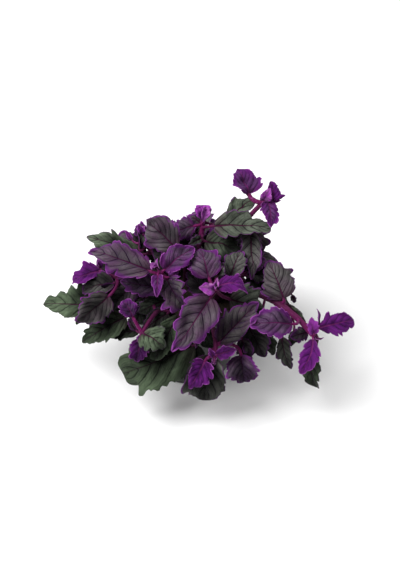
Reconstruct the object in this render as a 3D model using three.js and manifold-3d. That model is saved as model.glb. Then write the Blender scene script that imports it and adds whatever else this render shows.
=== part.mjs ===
// A potted purple passion plant (a velvety trailing houseplant) in a plain dark nursery pot.
// Millimetres, +Z up. The origin is the middle of the pot's flat underside.
// The pot and the soil are turned shapes. Each leafy stem is one solid: a tapering stem rooted in
// a hole in the soil, with its toothed leaves and their stalks grown out of it.
import * as THREE from "three";
import { mergeVertices } from "three/addons/utils/BufferGeometryUtils.js";
import Module from "manifold-3d";

const wasm = await Module();
wasm.setup();

// The pot and the soil in it
const POT_HEIGHT = 90;
const POT_RIM_RADIUS = 60;
const POT_FOOT_RADIUS = 41;
const POT_WALL = 3.6;
const POT_COLLAR_HEIGHT = 19;
const POT_COLLAR_STEP = 2.4;
const POT_FLOOR = 4.4;
const POT_ROUNDING = 1.6;
const POT_SIDES = 28;
const SOIL_TOP = 79;
const SOIL_CROWN = 3;
const SOIL_GAP = 0.7;
const CLEARANCE = 0.3;

// Stems and leaf stalks
const STEM_FOOT_RADIUS = 3.1;
const STEM_TIP_RADIUS = 1.5;
const STEM_SIDES = 5;
const STEM_STEPS = 6;
const STEM_FOOT_DEPTH = 12;
const STALK_HALF_WIDTH = 1.1;
const STALK_THICKNESS = 2.0;
const LONG_STALK = 15;
const BLADE_THICKNESS = 0.8;
const TIP_HALF_WIDTH = 0.7;
const BROAD_LEAF = 34;
const SMALL_LEAF = 18;

// Leaf outline: an egg shape whose edge is cut into forward-pointing teeth
const EGG_SKEW = 0.66;
const EGG_FULLNESS = 0.8;
const TOOTH_VALLEY = 0.1;
const TOOTH_PEAK = 0.75;
const WAVES = 1.5;

// The back of the plant is filled by a rule. Shoots fan out round the back of the pot, each toward
// its heading, with its growing tip at a reach from the pot's axis and a height above the table.
// Their leaves alternate from side to side up the stem and hang more the older they are. Neighbours
// overlap like tiles: leaves are held higher on the side named high (1 left, -1 right, 0 both).
const CROWN_SHOOTS = [
  { heading: 50, reach: 37, top: 120, high: -1, seed: 43 },
  { heading: 100, reach: 31, top: 119, high: 0, seed: 71 },
  { heading: 144, reach: 44, top: 121, high: 1, seed: 68 },
];
const STANDING_SHOOTS = [
  { heading: 10, reach: 51, top: 101, high: -1, seed: 74 },
  { heading: 64, reach: 55, top: 96, high: -1, seed: 71 },
  { heading: 114, reach: 47, top: 90, high: -1, seed: 20 },
  { heading: 163, reach: 61, top: 104, high: -1, seed: 72 },
];
const HANGING_SHOOTS = [
  { heading: 41, reach: 80, top: 62, high: 1, seed: 57 },
  { heading: 72, reach: 85, top: 64, high: 1, seed: 74 },
  { heading: 109, reach: 83, top: 63, high: 1, seed: 1 },
  { heading: 144, reach: 82, top: 63, high: 1, seed: 24 },
];
const CROWN = { foot: 24, rise: 50, crest: 8, leaves: 6, spread: 46, youngDip: 28, oldDip: -18 };
const STANDING = { foot: 34, rise: 42, crest: 10, leaves: 6, spread: 46, youngDip: 24, oldDip: -24 };
const HANGING = { foot: 45, rise: 38, crest: 42, leaves: 4, spread: 34, youngDip: -58, oldDip: -40 };
const OLDEST_LEAF = 56;
const YOUNGEST_LEAF = 20;
const YOUNGEST_SPREAD = 10;
const LEAF_SLIMNESS = 0.54;
const STALK_SHARE = 0.25;
const GROWTH_POWER = 0.6;
const FACE_UP = 0.9;
const TILING = 8;
const TURN_SCATTER = 8;
const DIP_SCATTER = 6;
const SIZE_SCATTER = 0.1;

// Places in the foliage are given as seen by someone looking down on the plant from its front:
// [mm to the right, mm up the picture, mm toward the eye], counted from the point looked at.
const LOOKED_AT = new THREE.Vector3(10, 0, 97);
const EYE_ELEVATION = THREE.MathUtils.degToRad(38);
const EYE_DISTANCE = 1300;
const RIGHT = new THREE.Vector3(1, 0, 0);
const UPWARD = new THREE.Vector3(0, Math.sin(EYE_ELEVATION), Math.cos(EYE_ELEVATION));
const TO_EYE = new THREE.Vector3(0, -Math.cos(EYE_ELEVATION), Math.sin(EYE_ELEVATION));

function seen([right, up, near]) {
  const shrink = 1 - near / EYE_DISTANCE;
  return LOOKED_AT.clone()
    .addScaledVector(RIGHT, right * shrink)
    .addScaledVector(UPWARD, up * shrink)
    .addScaledVector(TO_EYE, near);
}

// A closed solid through rings that all have the same number of points, each ring running
// anticlockwise as seen from the first ring's side. Quads in the second half of a ring are split
// the other way, so that a leaf's two faces have the same folds.
function loft(rings) {
  const sides = rings[0].length;
  const faces = [];
  for (let r = 0; r + 1 < rings.length; r++) {
    for (let j = 0; j < sides; j++) {
      const a = r * sides + j;
      const b = r * sides + ((j + 1) % sides);
      const c = b + sides;
      const d = a + sides;
      if (j < sides / 2) faces.push(a, c, b, a, d, c);
      else faces.push(a, d, b, b, d, c);
    }
  }
  const last = (rings.length - 1) * sides;
  for (let j = 1; j + 1 < sides; j++) {
    faces.push(0, j, j + 1);
    faces.push(last, last + j + 1, last + j);
  }
  const geometry = new THREE.BufferGeometry().setFromPoints(rings.flat());
  geometry.setIndex(faces);
  return geometry;
}

function solidOf(geometry) {
  const bare = geometry.clone();
  bare.deleteAttribute("normal");
  bare.deleteAttribute("uv");
  const merged = mergeVertices(bare, 1e-4);
  return new wasm.Manifold(
    new wasm.Mesh({
      numProp: 3,
      vertProperties: new Float32Array(merged.attributes.position.array),
      triVerts: new Uint32Array(merged.index.array),
    }),
  );
}

function meshOf(name, solid, material) {
  const { vertProperties, triVerts } = solid.getMesh();
  const geometry = new THREE.BufferGeometry();
  geometry.setAttribute("position", new THREE.BufferAttribute(vertProperties, 3));
  geometry.setIndex(new THREE.BufferAttribute(triVerts, 1));
  geometry.computeVertexNormals();
  const mesh = new THREE.Mesh(geometry, material);
  mesh.name = name;
  return mesh;
}

// A flat section of a leaf or its stalk. The two halves may be lifted at their edges, and a creased
// section has its rib as a corner on both faces.
function leafSection(centre, tangent, side, half, thick, creased, leftLift = 0, rightLift = 0) {
  const rise = side.clone().cross(tangent);
  const point = (s, lift, level) =>
    centre
      .clone()
      .addScaledVector(side, s * half)
      .addScaledVector(rise, lift + level * thick);
  const ring = [];
  for (const level of [-0.5, 0.5]) {
    const row = [point(-1, leftLift, level), point(1, rightLift, level)];
    if (creased) row.splice(1, 0, point(0, 0, level));
    ring.push(...(level < 0 ? row : row.reverse()));
  }
  return ring;
}

function squareTo(side, tangent) {
  return side.clone().addScaledVector(tangent, -side.dot(tangent)).normalize();
}

// One leaf: from its root on the stem, along the stalk to the blade's base, and on to its tip.
// roll turns the face away from the eye about the leaf's length, arch bows the rib up and sway
// bows it sideways, fold lifts the two halves of a broad leaf, wave ripples the edge, bite deepens
// the teeth and skew moves the widest place (toward the tip where it is larger).
function leafSolid(stem, leaf) {
  const { at, base, tip, wide, roll = 0, arch = 0.1, sway = 0 } = leaf;
  const { fold = 0.12, wave = 0.04, bite = 0.2, skew = EGG_SKEW } = leaf;
  const creased = wide > BROAD_LEAF;
  const teeth = wide > BROAD_LEAF ? 4 : wide > SMALL_LEAF ? 3 : 2;
  const root = stem.getPoint(at);
  const facing = leaf.facing ?? TO_EYE;
  const along = tip.clone().sub(base);
  const length = along.length();
  along.normalize();
  const up = facing.clone().addScaledVector(along, -facing.dot(along)).normalize();
  up.applyAxisAngle(along, THREE.MathUtils.degToRad(roll));
  const across = along.clone().cross(up);

  const crest = base.clone().lerp(tip, 0.5);
  crest.addScaledVector(up, 2 * arch * length).addScaledVector(across, 2 * sway * length);
  const rib = new THREE.QuadraticBezierCurve3(base, crest, tip);
  const joined = rib.getTangent(0);
  const bend = base.clone().addScaledVector(joined, -0.5 * root.distanceTo(base));
  const stalk = new THREE.QuadraticBezierCurve3(root, bend, base);

  const rings = [];
  let side = across;
  const stalkRings = root.distanceTo(base) > LONG_STALK ? [1, 0.5, 0] : [1, 0];
  for (const t of stalkRings) {
    const tangent = stalk.getTangent(t);
    side = squareTo(side, tangent);
    const thick = t === 1 ? 0.5 * (BLADE_THICKNESS + STALK_THICKNESS) : STALK_THICKNESS;
    rings.unshift(leafSection(stalk.getPoint(t), tangent, side, STALK_HALF_WIDTH, thick, creased));
  }
  for (let tooth = 0; tooth < teeth; tooth++) {
    for (const phase of [TOOTH_VALLEY, TOOTH_PEAK]) {
      const t = (tooth + phase) / teeth;
      const egg = Math.sin(Math.PI * t ** skew) ** EGG_FULLNESS;
      const cut = phase === TOOTH_VALLEY && tooth > 0 ? 1 - bite : 1;
      const half = Math.max(0.5 * wide * egg * cut, TIP_HALF_WIDTH);
      const ripple = wave * wide * egg * Math.sin(WAVES * 2 * Math.PI * t);
      const lift = creased ? fold * half : 0;
      const section = [rib.getPoint(t), rib.getTangent(t), across, half, BLADE_THICKNESS, creased];
      rings.push(leafSection(...section, lift + ripple, lift - ripple));
    }
  }
  rings.push(leafSection(tip, rib.getTangent(1), across, TIP_HALF_WIDTH, BLADE_THICKNESS, creased));
  return solidOf(loft(rings));
}

// A stem from its foot in the soil to its growing tip. girth scales its thickness, and extra widens
// it, for the hole it stands in.
function stemSolid(stem, girth = 1, extra = 0) {
  const frames = stem.computeFrenetFrames(STEM_STEPS, false);
  const rings = [];
  for (let step = 0; step <= STEM_STEPS; step++) {
    const centre = stem.getPointAt(step / STEM_STEPS);
    if (step === 0) centre.z -= extra;
    const taper = THREE.MathUtils.lerp(STEM_FOOT_RADIUS, STEM_TIP_RADIUS, step / STEM_STEPS);
    const radius = girth * taper + extra;
    const ring = [];
    for (let k = 0; k < STEM_SIDES; k++) {
      const angle = (-2 * Math.PI * k) / STEM_SIDES;
      ring.push(
        centre
          .clone()
          .addScaledVector(frames.normals[step], radius * Math.cos(angle))
          .addScaledVector(frames.binormals[step], radius * Math.sin(angle)),
      );
    }
    rings.push(ring);
  }
  return solidOf(loft(rings));
}

function stemCurve({ foot, rise, elbow, tip }) {
  const low = new THREE.Vector3(foot[0], foot[1], SOIL_TOP - STEM_FOOT_DEPTH);
  const high = low.clone().setZ(low.z + rise);
  return new THREE.CubicBezierCurve3(low, high, elbow, tip);
}

// A leaf grows from its stem at a share of the stem's length. base and tip are where its blade
// starts and ends, and wide is the blade's width.
const leaf = (at, base, tip, wide, more = {}) => ({ at, base: seen(base), tip: seen(tip), wide, ...more });

// An inner leaf lies flat over the soil, with its base and tip at plain x, y and z.
const innerLeaf = (at, base, tip, wide) => ({
  at,
  base: new THREE.Vector3(...base),
  tip: new THREE.Vector3(...tip),
  wide,
  facing: new THREE.Vector3(0, 0, 1),
});

// Each shoot's stem leaves the soil at its foot, rises, bends at its elbow and ends at its tip.
const frontShoots = [
  {
    name: "shoot_mid_left",
    tone: "purple",
    foot: [-12, -14],
    rise: 60,
    elbow: seen([-26, -8, 50]),
    tip: seen([-41, 15, 66]),
    leaves: [
      leaf(0.93, [-50, 14, 66], [-111, 35, 44], 34, { roll: 12 }),
      leaf(0.95, [-36, 15, 66], [-4, 39, 60], 25, { roll: -15 }),
      leaf(0.99, [-41, 12, 70], [-43, -10, 80], 11),
      leaf(0.86, [-33, 6, 62], [-13, -28, 74], 32, { roll: 15 }),
      leaf(0.9, [-31, 8, 68], [-21, 13, 74], 8),
      leaf(0.72, [-36, -4, 54], [-83, 4, 40], 23, { roll: 5 }),
      leaf(0.7, [-24, 38, 38], [-53, 67, 18], 38, { roll: -5 }),
      leaf(0.97, [-44, 17, 66], [-50, 22, 70], 7),
      leaf(0.8, [-26, 24, 47], [-48, 36, 40], 22, { roll: 10 }),
    ],
  },
  {
    name: "shoot_left",
    tone: "purple",
    foot: [-27, -4],
    rise: 55,
    elbow: seen([-74, -2, 34]),
    tip: seen([-100, 14, 22]),
    leaves: [
      leaf(0.99, [-99, 14, 24], [-129, 4, 14], 21, { roll: 25, skew: 0.8 }),
      leaf(0.96, [-100, 17, 20], [-103, 25, 16], 9, { roll: 60 }),
      leaf(0.8, [-86, 2, 30], [-119, -6, 16], 25, { roll: 20 }),
      leaf(0.78, [-91, -11, 42], [-123, -38, 34], 31, { roll: -10 }),
      leaf(0.68, [-68, 0, 30], [-94, -20, 18], 28, { roll: 10 }),
    ],
  },
  {
    name: "shoot_top_left",
    tone: "green",
    foot: [-24, 6],
    rise: 50,
    elbow: seen([-48, 32, 18]),
    tip: seen([-55, 50, 22]),
    leaves: [
      leaf(0.8, [-56, 32, 14], [-111, 48, 0], 22, { roll: 10 }),
      leaf(0.85, [-60, 36, 26], [-64, 57, 18], 13, { roll: 50, fold: 0.5 }),
      leaf(0.95, [-55, 53, 20], [-66, 56, 12], 15, { roll: 20 }),
      leaf(0.99, [-57, 51, 26], [-62, 61, 30], 7),
      leaf(0.9, [-68, 45, 17], [-75, 55, 14], 5),
    ],
  },
  {
    name: "shoot_top",
    tone: "green",
    foot: [0, 14],
    rise: 50,
    elbow: seen([3, 40, 14]),
    tip: seen([3, 66, 20]),
    leaves: [
      leaf(0.93, [-6, 59, 20], [-30, 51, 8], 25, { roll: 20 }),
      leaf(0.99, [2, 64, 20], [2, 80, 24], 19, { roll: 180, fold: 0.5, skew: 1.2 }),
      leaf(0.96, [1, 62, 16], [-11, 70, 8], 10),
      leaf(0.8, [1, 47, 24], [-12, 40, 32], 10),
      leaf(0.88, [14, 60, 34], [72, 58, 38], 25, { roll: -15 }),
      leaf(0.75, [5, 44, 20], [43, 33, 26], 32, { roll: -20 }),
      leaf(0.7, [-2, 42, 10], [-28, 40, 2], 30, { roll: 20 }),
      leaf(0.97, [28, 71, 20], [54, 84, 16], 19, { roll: -10 }),
      innerLeaf(0.46, [12, 2, 120], [50, -22, 118], 30),
      innerLeaf(0.48, [-4, 6, 124], [-40, -20, 124], 28),
    ],
  },
  {
    name: "shoot_top_right",
    tone: "purple",
    foot: [20, 10],
    rise: 60,
    elbow: seen([46, 66, 28]),
    tip: seen([64, 84, 36]),
    leaves: [
      leaf(0.9, [49, 92, 36], [35, 116, 26], 30, { roll: 10 }),
      leaf(0.98, [71, 83, 32], [71, 104, 26], 19, { roll: 35, fold: 0.4 }),
      leaf(0.98, [66, 86, 42], [71, 97, 48], 10),
      leaf(0.99, [68, 84, 42], [72, 56, 48], 18, { roll: -15 }),
      leaf(0.7, [50, 53, 26], [53, 5, 42], 22, { roll: -10 }),
      leaf(0.65, [56, 55, 16], [61, 28, 20], 20, { roll: -40 }),
    ],
  },
  {
    name: "shoot_middle",
    tone: "purple",
    foot: [8, -16],
    rise: 60,
    elbow: seen([20, -12, 60]),
    tip: seen([17, -3, 78]),
    leaves: [
      leaf(0.92, [9, 7, 70], [0, 38, 52], 33, { roll: 5 }),
      leaf(0.97, [17, -2, 78], [50, -7, 70], 19, { roll: -40, arch: 0.2, sway: -0.1 }),
      leaf(0.99, [15, -5, 80], [0, -2, 84], 10),
      leaf(0.94, [11, -12, 80], [-27, -67, 86], 36, { roll: -5 }),
      leaf(0.98, [18, 10, 66], [24, 19, 62], 10),
      leaf(0.85, [30, -16, 56], [52, -32, 42], 36, { roll: -20 }),
      leaf(0.8, [30, 8, 50], [41, 35, 38], 24, { roll: -10 }),
      leaf(0.7, [6, -8, 54], [-12, 14, 50], 26, { roll: 10 }),
    ],
  },
  {
    name: "shoot_right",
    tone: "purple",
    foot: [26, -4],
    rise: 58,
    girth: 1.45,
    elbow: seen([84, -12, 46]),
    tip: seen([113, -50, 52]),
    leaves: [
      leaf(0.99, [118, -43, 50], [153, -38, 44], 25, { roll: -10, skew: 1.05 }),
      leaf(0.98, [112, -54, 58], [97, -89, 66], 18, { roll: 15, sway: -0.09, skew: 0.9 }),
      leaf(0.95, [117, -57, 50], [114, -104, 46], 21, { roll: 30, sway: 0.06, skew: 1.2 }),
      leaf(0.99, [114, -49, 58], [111, -32, 60], 9),
      leaf(0.97, [118, -42, 46], [118, -23, 42], 5, { roll: 60 }),
      leaf(0.85, [93, -39, 64], [50, -38, 74], 33, { roll: 10, skew: 0.8 }),
      leaf(0.93, [108, -47, 44], [90, -52, 40], 15),
      leaf(0.75, [82, -52, 38], [91, -86, 36], 16, { roll: 30 }),
      leaf(0.7, [94, -46, 32], [91, -62, 28], 10),
      leaf(0.55, [48, -41, 42], [65, -73, 38], 28),
      leaf(0.62, [84, -14, 36], [70, 27, 22], 40, { roll: 5 }),
      leaf(0.75, [88, -20, 32], [107, -38, 32], 8),
      leaf(0.62, [92, -10, 24], [95, -18, 20], 6),
      leaf(0.6, [66, -50, 36], [75, -71, 30], 15),
    ],
  },
  {
    name: "shoot_front",
    tone: "purple",
    foot: [10, -30],
    rise: 52,
    elbow: seen([20, -48, 66]),
    tip: seen([15, -72, 70]),
    leaves: [
      leaf(0.97, [5, -76, 72], [-11, -103, 74], 29, { roll: -5, bite: 0.32 }),
      leaf(0.98, [16, -70, 72], [37, -64, 70], 12),
      leaf(0.99, [14, -72, 72], [9, -63, 76], 6),
      leaf(0.9, [9, -70, 60], [0, -116, 50], 48, { roll: 5, skew: 0.75 }),
      leaf(0.85, [40, -72, 56], [43, -99, 54], 37, { roll: 10, skew: 0.8 }),
      leaf(0.75, [19, -58, 66], [59, -17, 54], 31, { roll: -10 }),
      leaf(0.7, [42, -54, 48], [50, -76, 44], 18, { roll: 10 }),
    ],
  },
  {
    name: "shoot_front_left",
    tone: "green",
    foot: [-18, -24],
    rise: 48,
    elbow: seen([-50, -34, 54]),
    tip: seen([-59, -50, 56]),
    leaves: [
      leaf(0.95, [-67, -32, 60], [-76, -15, 60], 22, { roll: 10, skew: 1 }),
      leaf(0.98, [-57, -48, 62], [-35, -64, 68], 27, { roll: -20, arch: 0.2 }),
      leaf(0.98, [-60, -54, 58], [-67, -77, 54], 19),
      leaf(0.92, [-64, -45, 48], [-72, -33, 44], 9),
      leaf(0.99, [-60, -51, 62], [-62, -57, 66], 5),
      leaf(0.4, [-34, -14, 38], [-62, -28, 34], 24),
      leaf(0.55, [-34, -30, 41], [-51, -42, 40], 17),
      leaf(0.6, [-54, -16, 30], [-68, -38, 26], 22),
    ],
  },
  {
    name: "shoot_low_left",
    tone: "green",
    foot: [-34, -12],
    rise: 44,
    elbow: seen([-70, -18, 26]),
    tip: seen([-90, -20, 16]),
    leaves: [
      leaf(0.98, [-100, -21, 10], [-153, -20, -10], 37, { roll: 10 }),
      leaf(0.8, [-74, -30, 30], [-118, -55, 16], 30, { roll: 10 }),
      leaf(0.7, [-61, -45, 30], [-92, -52, 20], 18, { roll: 20 }),
    ],
  },
  {
    name: "shoot_low_front",
    tone: "green",
    foot: [-6, -34],
    rise: 46,
    elbow: seen([-6, -44, 52]),
    tip: seen([-4, -52, 56]),
    leaves: [
      leaf(0.97, [-5, -61, 50], [-73, -100, 38], 51, { roll: 10, skew: 0.8 }),
      leaf(0.9, [-32, -60, 56], [-24, -27, 54], 15, { roll: 10 }),
      leaf(0.8, [2, -42, 48], [12, -64, 46], 22),
      leaf(0.99, [-3, -60, 47], [-14, -96, 34], 24),
    ],
  },
];

function turned(degrees, radius, height) {
  const angle = THREE.MathUtils.degToRad(degrees);
  return new THREE.Vector3(radius * Math.cos(angle), radius * Math.sin(angle), height);
}

// A repeatable draw from -1 to 1 for each whole number.
function scatter(number) {
  const drawn = Math.sin(number * 12.9898) * 43758.5453;
  return 2 * (drawn - Math.floor(drawn)) - 1;
}

function backShoot(name, { heading, reach, top, high, seed }, habit) {
  const { lerp, degToRad } = THREE.MathUtils;
  const foot = turned(heading, habit.foot, 0);
  const shoot = {
    name,
    tone: seed % 2 ? "purple" : "green",
    foot: [foot.x, foot.y],
    rise: habit.rise,
    elbow: turned(heading, 0.9 * reach, top + habit.crest),
    tip: turned(heading, reach, top),
    leaves: [],
  };
  const stem = stemCurve(shoot);
  for (let k = 0; k < habit.leaves; k++) {
    const age = 1 - k / (habit.leaves - 1);
    const draw = 10 * seed + k;
    const at = 0.99 - 0.4 * age;
    const hand = k % 2 ? 1 : -1;
    const held = high === 0 || hand === high ? TILING : -TILING;
    const turn = hand * lerp(YOUNGEST_SPREAD, habit.spread, age) + TURN_SCATTER * scatter(draw);
    const dip = lerp(habit.youngDip, habit.oldDip, age) + held + DIP_SCATTER * scatter(draw + 2000);
    const out = turned(heading + turn, 1, Math.tan(degToRad(dip))).normalize();
    const grown = lerp(YOUNGEST_LEAF, OLDEST_LEAF, age ** GROWTH_POWER);
    const size = grown * (1 + SIZE_SCATTER * scatter(draw + 4000));
    const base = stem.getPoint(at).addScaledVector(out, STALK_SHARE * size);
    const tip = base.clone().addScaledVector(out, size);
    const facing = turned(heading + turn, 1, FACE_UP).normalize();
    shoot.leaves.push({ at, base, tip, wide: LEAF_SLIMNESS * size, facing, arch: 0.12 });
  }
  return shoot;
}

const shoots = [
  ...frontShoots,
  ...CROWN_SHOOTS.map((place, i) => backShoot(`shoot_crown_${i + 1}`, place, CROWN)),
  ...STANDING_SHOOTS.map((place, i) => backShoot(`shoot_back_${i + 1}`, place, STANDING)),
  ...HANGING_SHOOTS.map((place, i) => backShoot(`shoot_hanging_${i + 1}`, place, HANGING)),
];

const turnedShape = (profile) =>
  new THREE.LatheGeometry(profile.map(([r, z]) => new THREE.Vector2(r, z)), POT_SIDES).rotateX(Math.PI / 2);

// The pot: a turned cup with a collar round its rim and a flat underside.
function potSolid() {
  const collarBottom = POT_HEIGHT - POT_COLLAR_HEIGHT;
  const inner = POT_RIM_RADIUS - POT_WALL;
  return solidOf(
    turnedShape([
      [0, 0],
      [POT_FOOT_RADIUS - POT_ROUNDING, 0],
      [POT_FOOT_RADIUS, POT_ROUNDING],
      [POT_RIM_RADIUS - POT_COLLAR_STEP, collarBottom],
      [POT_RIM_RADIUS - 0.5 * POT_ROUNDING, collarBottom + POT_ROUNDING],
      [POT_RIM_RADIUS, POT_HEIGHT - POT_ROUNDING],
      [POT_RIM_RADIUS - 0.7 * POT_ROUNDING, POT_HEIGHT],
      [inner + 0.5 * POT_ROUNDING, POT_HEIGHT],
      [inner, POT_HEIGHT - POT_ROUNDING],
      [POT_FOOT_RADIUS - POT_WALL, POT_FLOOR],
      [0, POT_FLOOR],
    ]),
  );
}

function potInnerRadius(z) {
  const share = (z - POT_FLOOR) / (POT_HEIGHT - POT_ROUNDING - POT_FLOOR);
  return THREE.MathUtils.lerp(POT_FOOT_RADIUS, POT_RIM_RADIUS, share) - POT_WALL;
}

// The soil: a plug that fills the pot to below its rim, with a hole for each stem.
function soilSolid() {
  const bottom = POT_FLOOR + CLEARANCE;
  const radius = potInnerRadius(SOIL_TOP) - SOIL_GAP;
  let soil = solidOf(
    turnedShape([
      [0, bottom],
      [potInnerRadius(bottom) - SOIL_GAP, bottom],
      [radius, SOIL_TOP],
      [0.55 * radius, SOIL_TOP + 0.7 * SOIL_CROWN],
      [0, SOIL_TOP + SOIL_CROWN],
    ]),
  );
  for (const shoot of shoots) soil = soil.subtract(stemSolid(stemCurve(shoot), shoot.girth, CLEARANCE));
  return soil;
}

const plastic = new THREE.MeshStandardMaterial({ color: 0x2b2a29, roughness: 0.6 });
const peat = new THREE.MeshStandardMaterial({ color: 0x2c2019, roughness: 1 });
const foliage = {
  purple: new THREE.MeshStandardMaterial({ color: 0x54325f, roughness: 0.8 }),
  green: new THREE.MeshStandardMaterial({ color: 0x435240, roughness: 0.8 }),
};

const plant = new THREE.Group();
plant.add(meshOf("pot", potSolid(), plastic));
plant.add(meshOf("potting_soil", soilSolid(), peat));
for (const shoot of shoots) {
  const stem = stemCurve(shoot);
  const leaves = shoot.leaves.map((leaf) => leafSolid(stem, leaf));
  const solid = wasm.Manifold.union([stemSolid(stem, shoot.girth), ...leaves]);
  plant.add(meshOf(shoot.name, solid, foliage[shoot.tone]));
}
export default plant;
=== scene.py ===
# A potted purple passion plant: toothed, velvety leaves on hairy stems that grow out of potting
# soil in a plain dark nursery pot. Sizes are in millimetres until a mesh is finished.
import math
import random

import bmesh
import bpy
from mathutils import Matrix, Vector, noise
from mathutils.bvhtree import BVHTree


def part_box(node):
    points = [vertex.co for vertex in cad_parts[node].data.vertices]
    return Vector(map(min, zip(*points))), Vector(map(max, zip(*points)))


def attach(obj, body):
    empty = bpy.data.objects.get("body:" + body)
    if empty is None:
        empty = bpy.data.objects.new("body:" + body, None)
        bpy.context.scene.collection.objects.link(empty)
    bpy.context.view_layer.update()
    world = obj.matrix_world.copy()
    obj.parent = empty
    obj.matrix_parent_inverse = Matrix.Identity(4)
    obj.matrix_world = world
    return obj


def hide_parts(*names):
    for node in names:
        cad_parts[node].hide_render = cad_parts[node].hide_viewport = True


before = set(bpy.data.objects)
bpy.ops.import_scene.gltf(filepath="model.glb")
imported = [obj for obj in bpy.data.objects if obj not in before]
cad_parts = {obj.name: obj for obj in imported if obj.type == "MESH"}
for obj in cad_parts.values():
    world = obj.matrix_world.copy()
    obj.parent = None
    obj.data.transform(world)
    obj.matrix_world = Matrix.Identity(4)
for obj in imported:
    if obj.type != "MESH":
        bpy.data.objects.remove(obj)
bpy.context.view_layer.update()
MM = 0.001

# The view: someone standing a little over a metre away looks down on the plant from its front, so
# that a millimetre at the point looked at is one of the picture's 400 by 570 pixels.
LOOKED_AT = Vector((10, 0, 97))
EYE_ELEVATION = math.radians(38)
EYE_DISTANCE = 1300
PICTURE_HEIGHT = 570
SENSOR = 36
RIGHT = Vector((1, 0, 0))
UPWARD = Vector((0, math.sin(EYE_ELEVATION), math.cos(EYE_ELEVATION)))
TO_EYE = Vector((0, -math.cos(EYE_ELEVATION), math.sin(EYE_ELEVATION)))

eye = bpy.data.cameras.new("camera")
eye.sensor_fit = "VERTICAL"
eye.sensor_height = SENSOR
eye.lens = SENSOR * EYE_DISTANCE / PICTURE_HEIGHT
eye.clip_end = 20
camera = bpy.data.objects.new("camera", eye)
camera.location = (LOOKED_AT + EYE_DISTANCE * TO_EYE) * MM
camera.rotation_euler = (math.pi / 2 - EYE_ELEVATION, 0, 0)
bpy.context.collection.objects.link(camera)
bpy.context.scene.camera = camera
bpy.context.scene.view_settings.view_transform = "Standard"


# The studio: a broad soft light above and in front of the plant, a weaker one behind it, and white
# walls all round. The floor is a plain white sheet.
WALLS = 0.34
KEY_LIGHT = {"power": 78, "size": 1.5, "place": (-1.1, -0.6, 2.0)}
BACK_LIGHT = {"power": 20, "size": 1.5, "place": (1.2, 1.6, 1.6)}
FLOOR_REACH = 6000
WHITE = (1, 1, 1, 1)
FLOOR_WHITE = (0.90, 0.90, 0.90, 1)


def add_light(name, power, size, place):
    lamp = bpy.data.lights.new(name, "AREA")
    lamp.energy = power
    lamp.size = size
    light = bpy.data.objects.new(name, lamp)
    light.location = place
    aim = LOOKED_AT * MM - light.location
    light.rotation_euler = aim.to_track_quat("-Z", "Y").to_euler()
    bpy.context.collection.objects.link(light)


def node(tree, kind, inputs=None, **settings):
    """A node with its settings, and for each input a value or the output that feeds it."""
    made = tree.nodes.new(kind)
    for name, value in settings.items():
        setattr(made, name, value)
    for key, value in (inputs or {}).items():
        if isinstance(value, bpy.types.NodeSocket):
            tree.links.new(value, made.inputs[key])
        else:
            made.inputs[key].default_value = value
    return made


def new_material(name, **sockets):
    """A material with the shader's own plain values, such as roughness=0.5."""
    material = bpy.data.materials.new(name)
    material.use_nodes = True
    shader = material.node_tree.nodes["Principled BSDF"]
    for socket, value in sockets.items():
        shader.inputs[socket.replace("_", " ").title().replace("Ior", "IOR")].default_value = value
    return material, material.node_tree, shader


def finish_mesh(bm, name, materials):
    bmesh.ops.scale(bm, vec=(MM, MM, MM), verts=bm.verts)
    mesh = bpy.data.meshes.new(name)
    bm.to_mesh(mesh)
    bm.free()
    for material in materials:
        mesh.materials.append(material)
    piece = bpy.data.objects.new(name, mesh)
    bpy.context.collection.objects.link(piece)
    return piece


add_light("key_light", **KEY_LIGHT)
add_light("back_light", **BACK_LIGHT)
world = bpy.data.worlds.new("studio")
world.use_nodes = True
walls = world.node_tree.nodes["Background"].inputs
walls["Color"].default_value = WHITE
walls["Strength"].default_value = WALLS
bpy.context.scene.world = world

white_sheet, tree, shader = new_material("white_sheet", base_color=FLOOR_WHITE, roughness=0.9)
bm = bmesh.new()
bmesh.ops.create_grid(bm, x_segments=1, y_segments=1, size=FLOOR_REACH)
finish_mesh(bm, "floor", [white_sheet])


# The pot: a plain round nursery pot, moulded in dark plastic with a collar round its rim. It is
# spun from its profile, with the moulded corners rounded, and has a dull sheen with faint scuffs.
POT_TAPER = 19
POT_WALL = 3.6
POT_FLOOR = 4.4
COLLAR_HEIGHT = 19
COLLAR_STEP = 2.4
CORNER = 1.6
EDGE_ROUNDING = 0.5
POT_STEPS = 96
MERGED_WITHIN = 0.001
SHARP_CORNER = math.radians(25)
POT_COLOUR = (0.020, 0.019, 0.020, 1)
SCUFF_COLOUR = (0.050, 0.048, 0.047, 1)

pot_low, pot_high = (Vector(corner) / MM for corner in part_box("pot"))
rim_radius = 0.5 * (pot_high.x - pot_low.x)
foot_radius = rim_radius - POT_TAPER
pot_height = pot_high.z
collar_bottom = pot_height - COLLAR_HEIGHT
pot_profile = [
    (0, 0),
    (foot_radius - CORNER, 0),
    (foot_radius, CORNER),
    (rim_radius - COLLAR_STEP, collar_bottom),
    (rim_radius - 0.5 * CORNER, collar_bottom + CORNER),
    (rim_radius, pot_height - CORNER),
    (rim_radius - 0.7 * CORNER, pot_height),
    (rim_radius - POT_WALL + 0.5 * CORNER, pot_height),
    (rim_radius - POT_WALL, pot_height - CORNER),
    (foot_radius - POT_WALL, POT_FLOOR),
    (0, POT_FLOOR),
]


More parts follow.
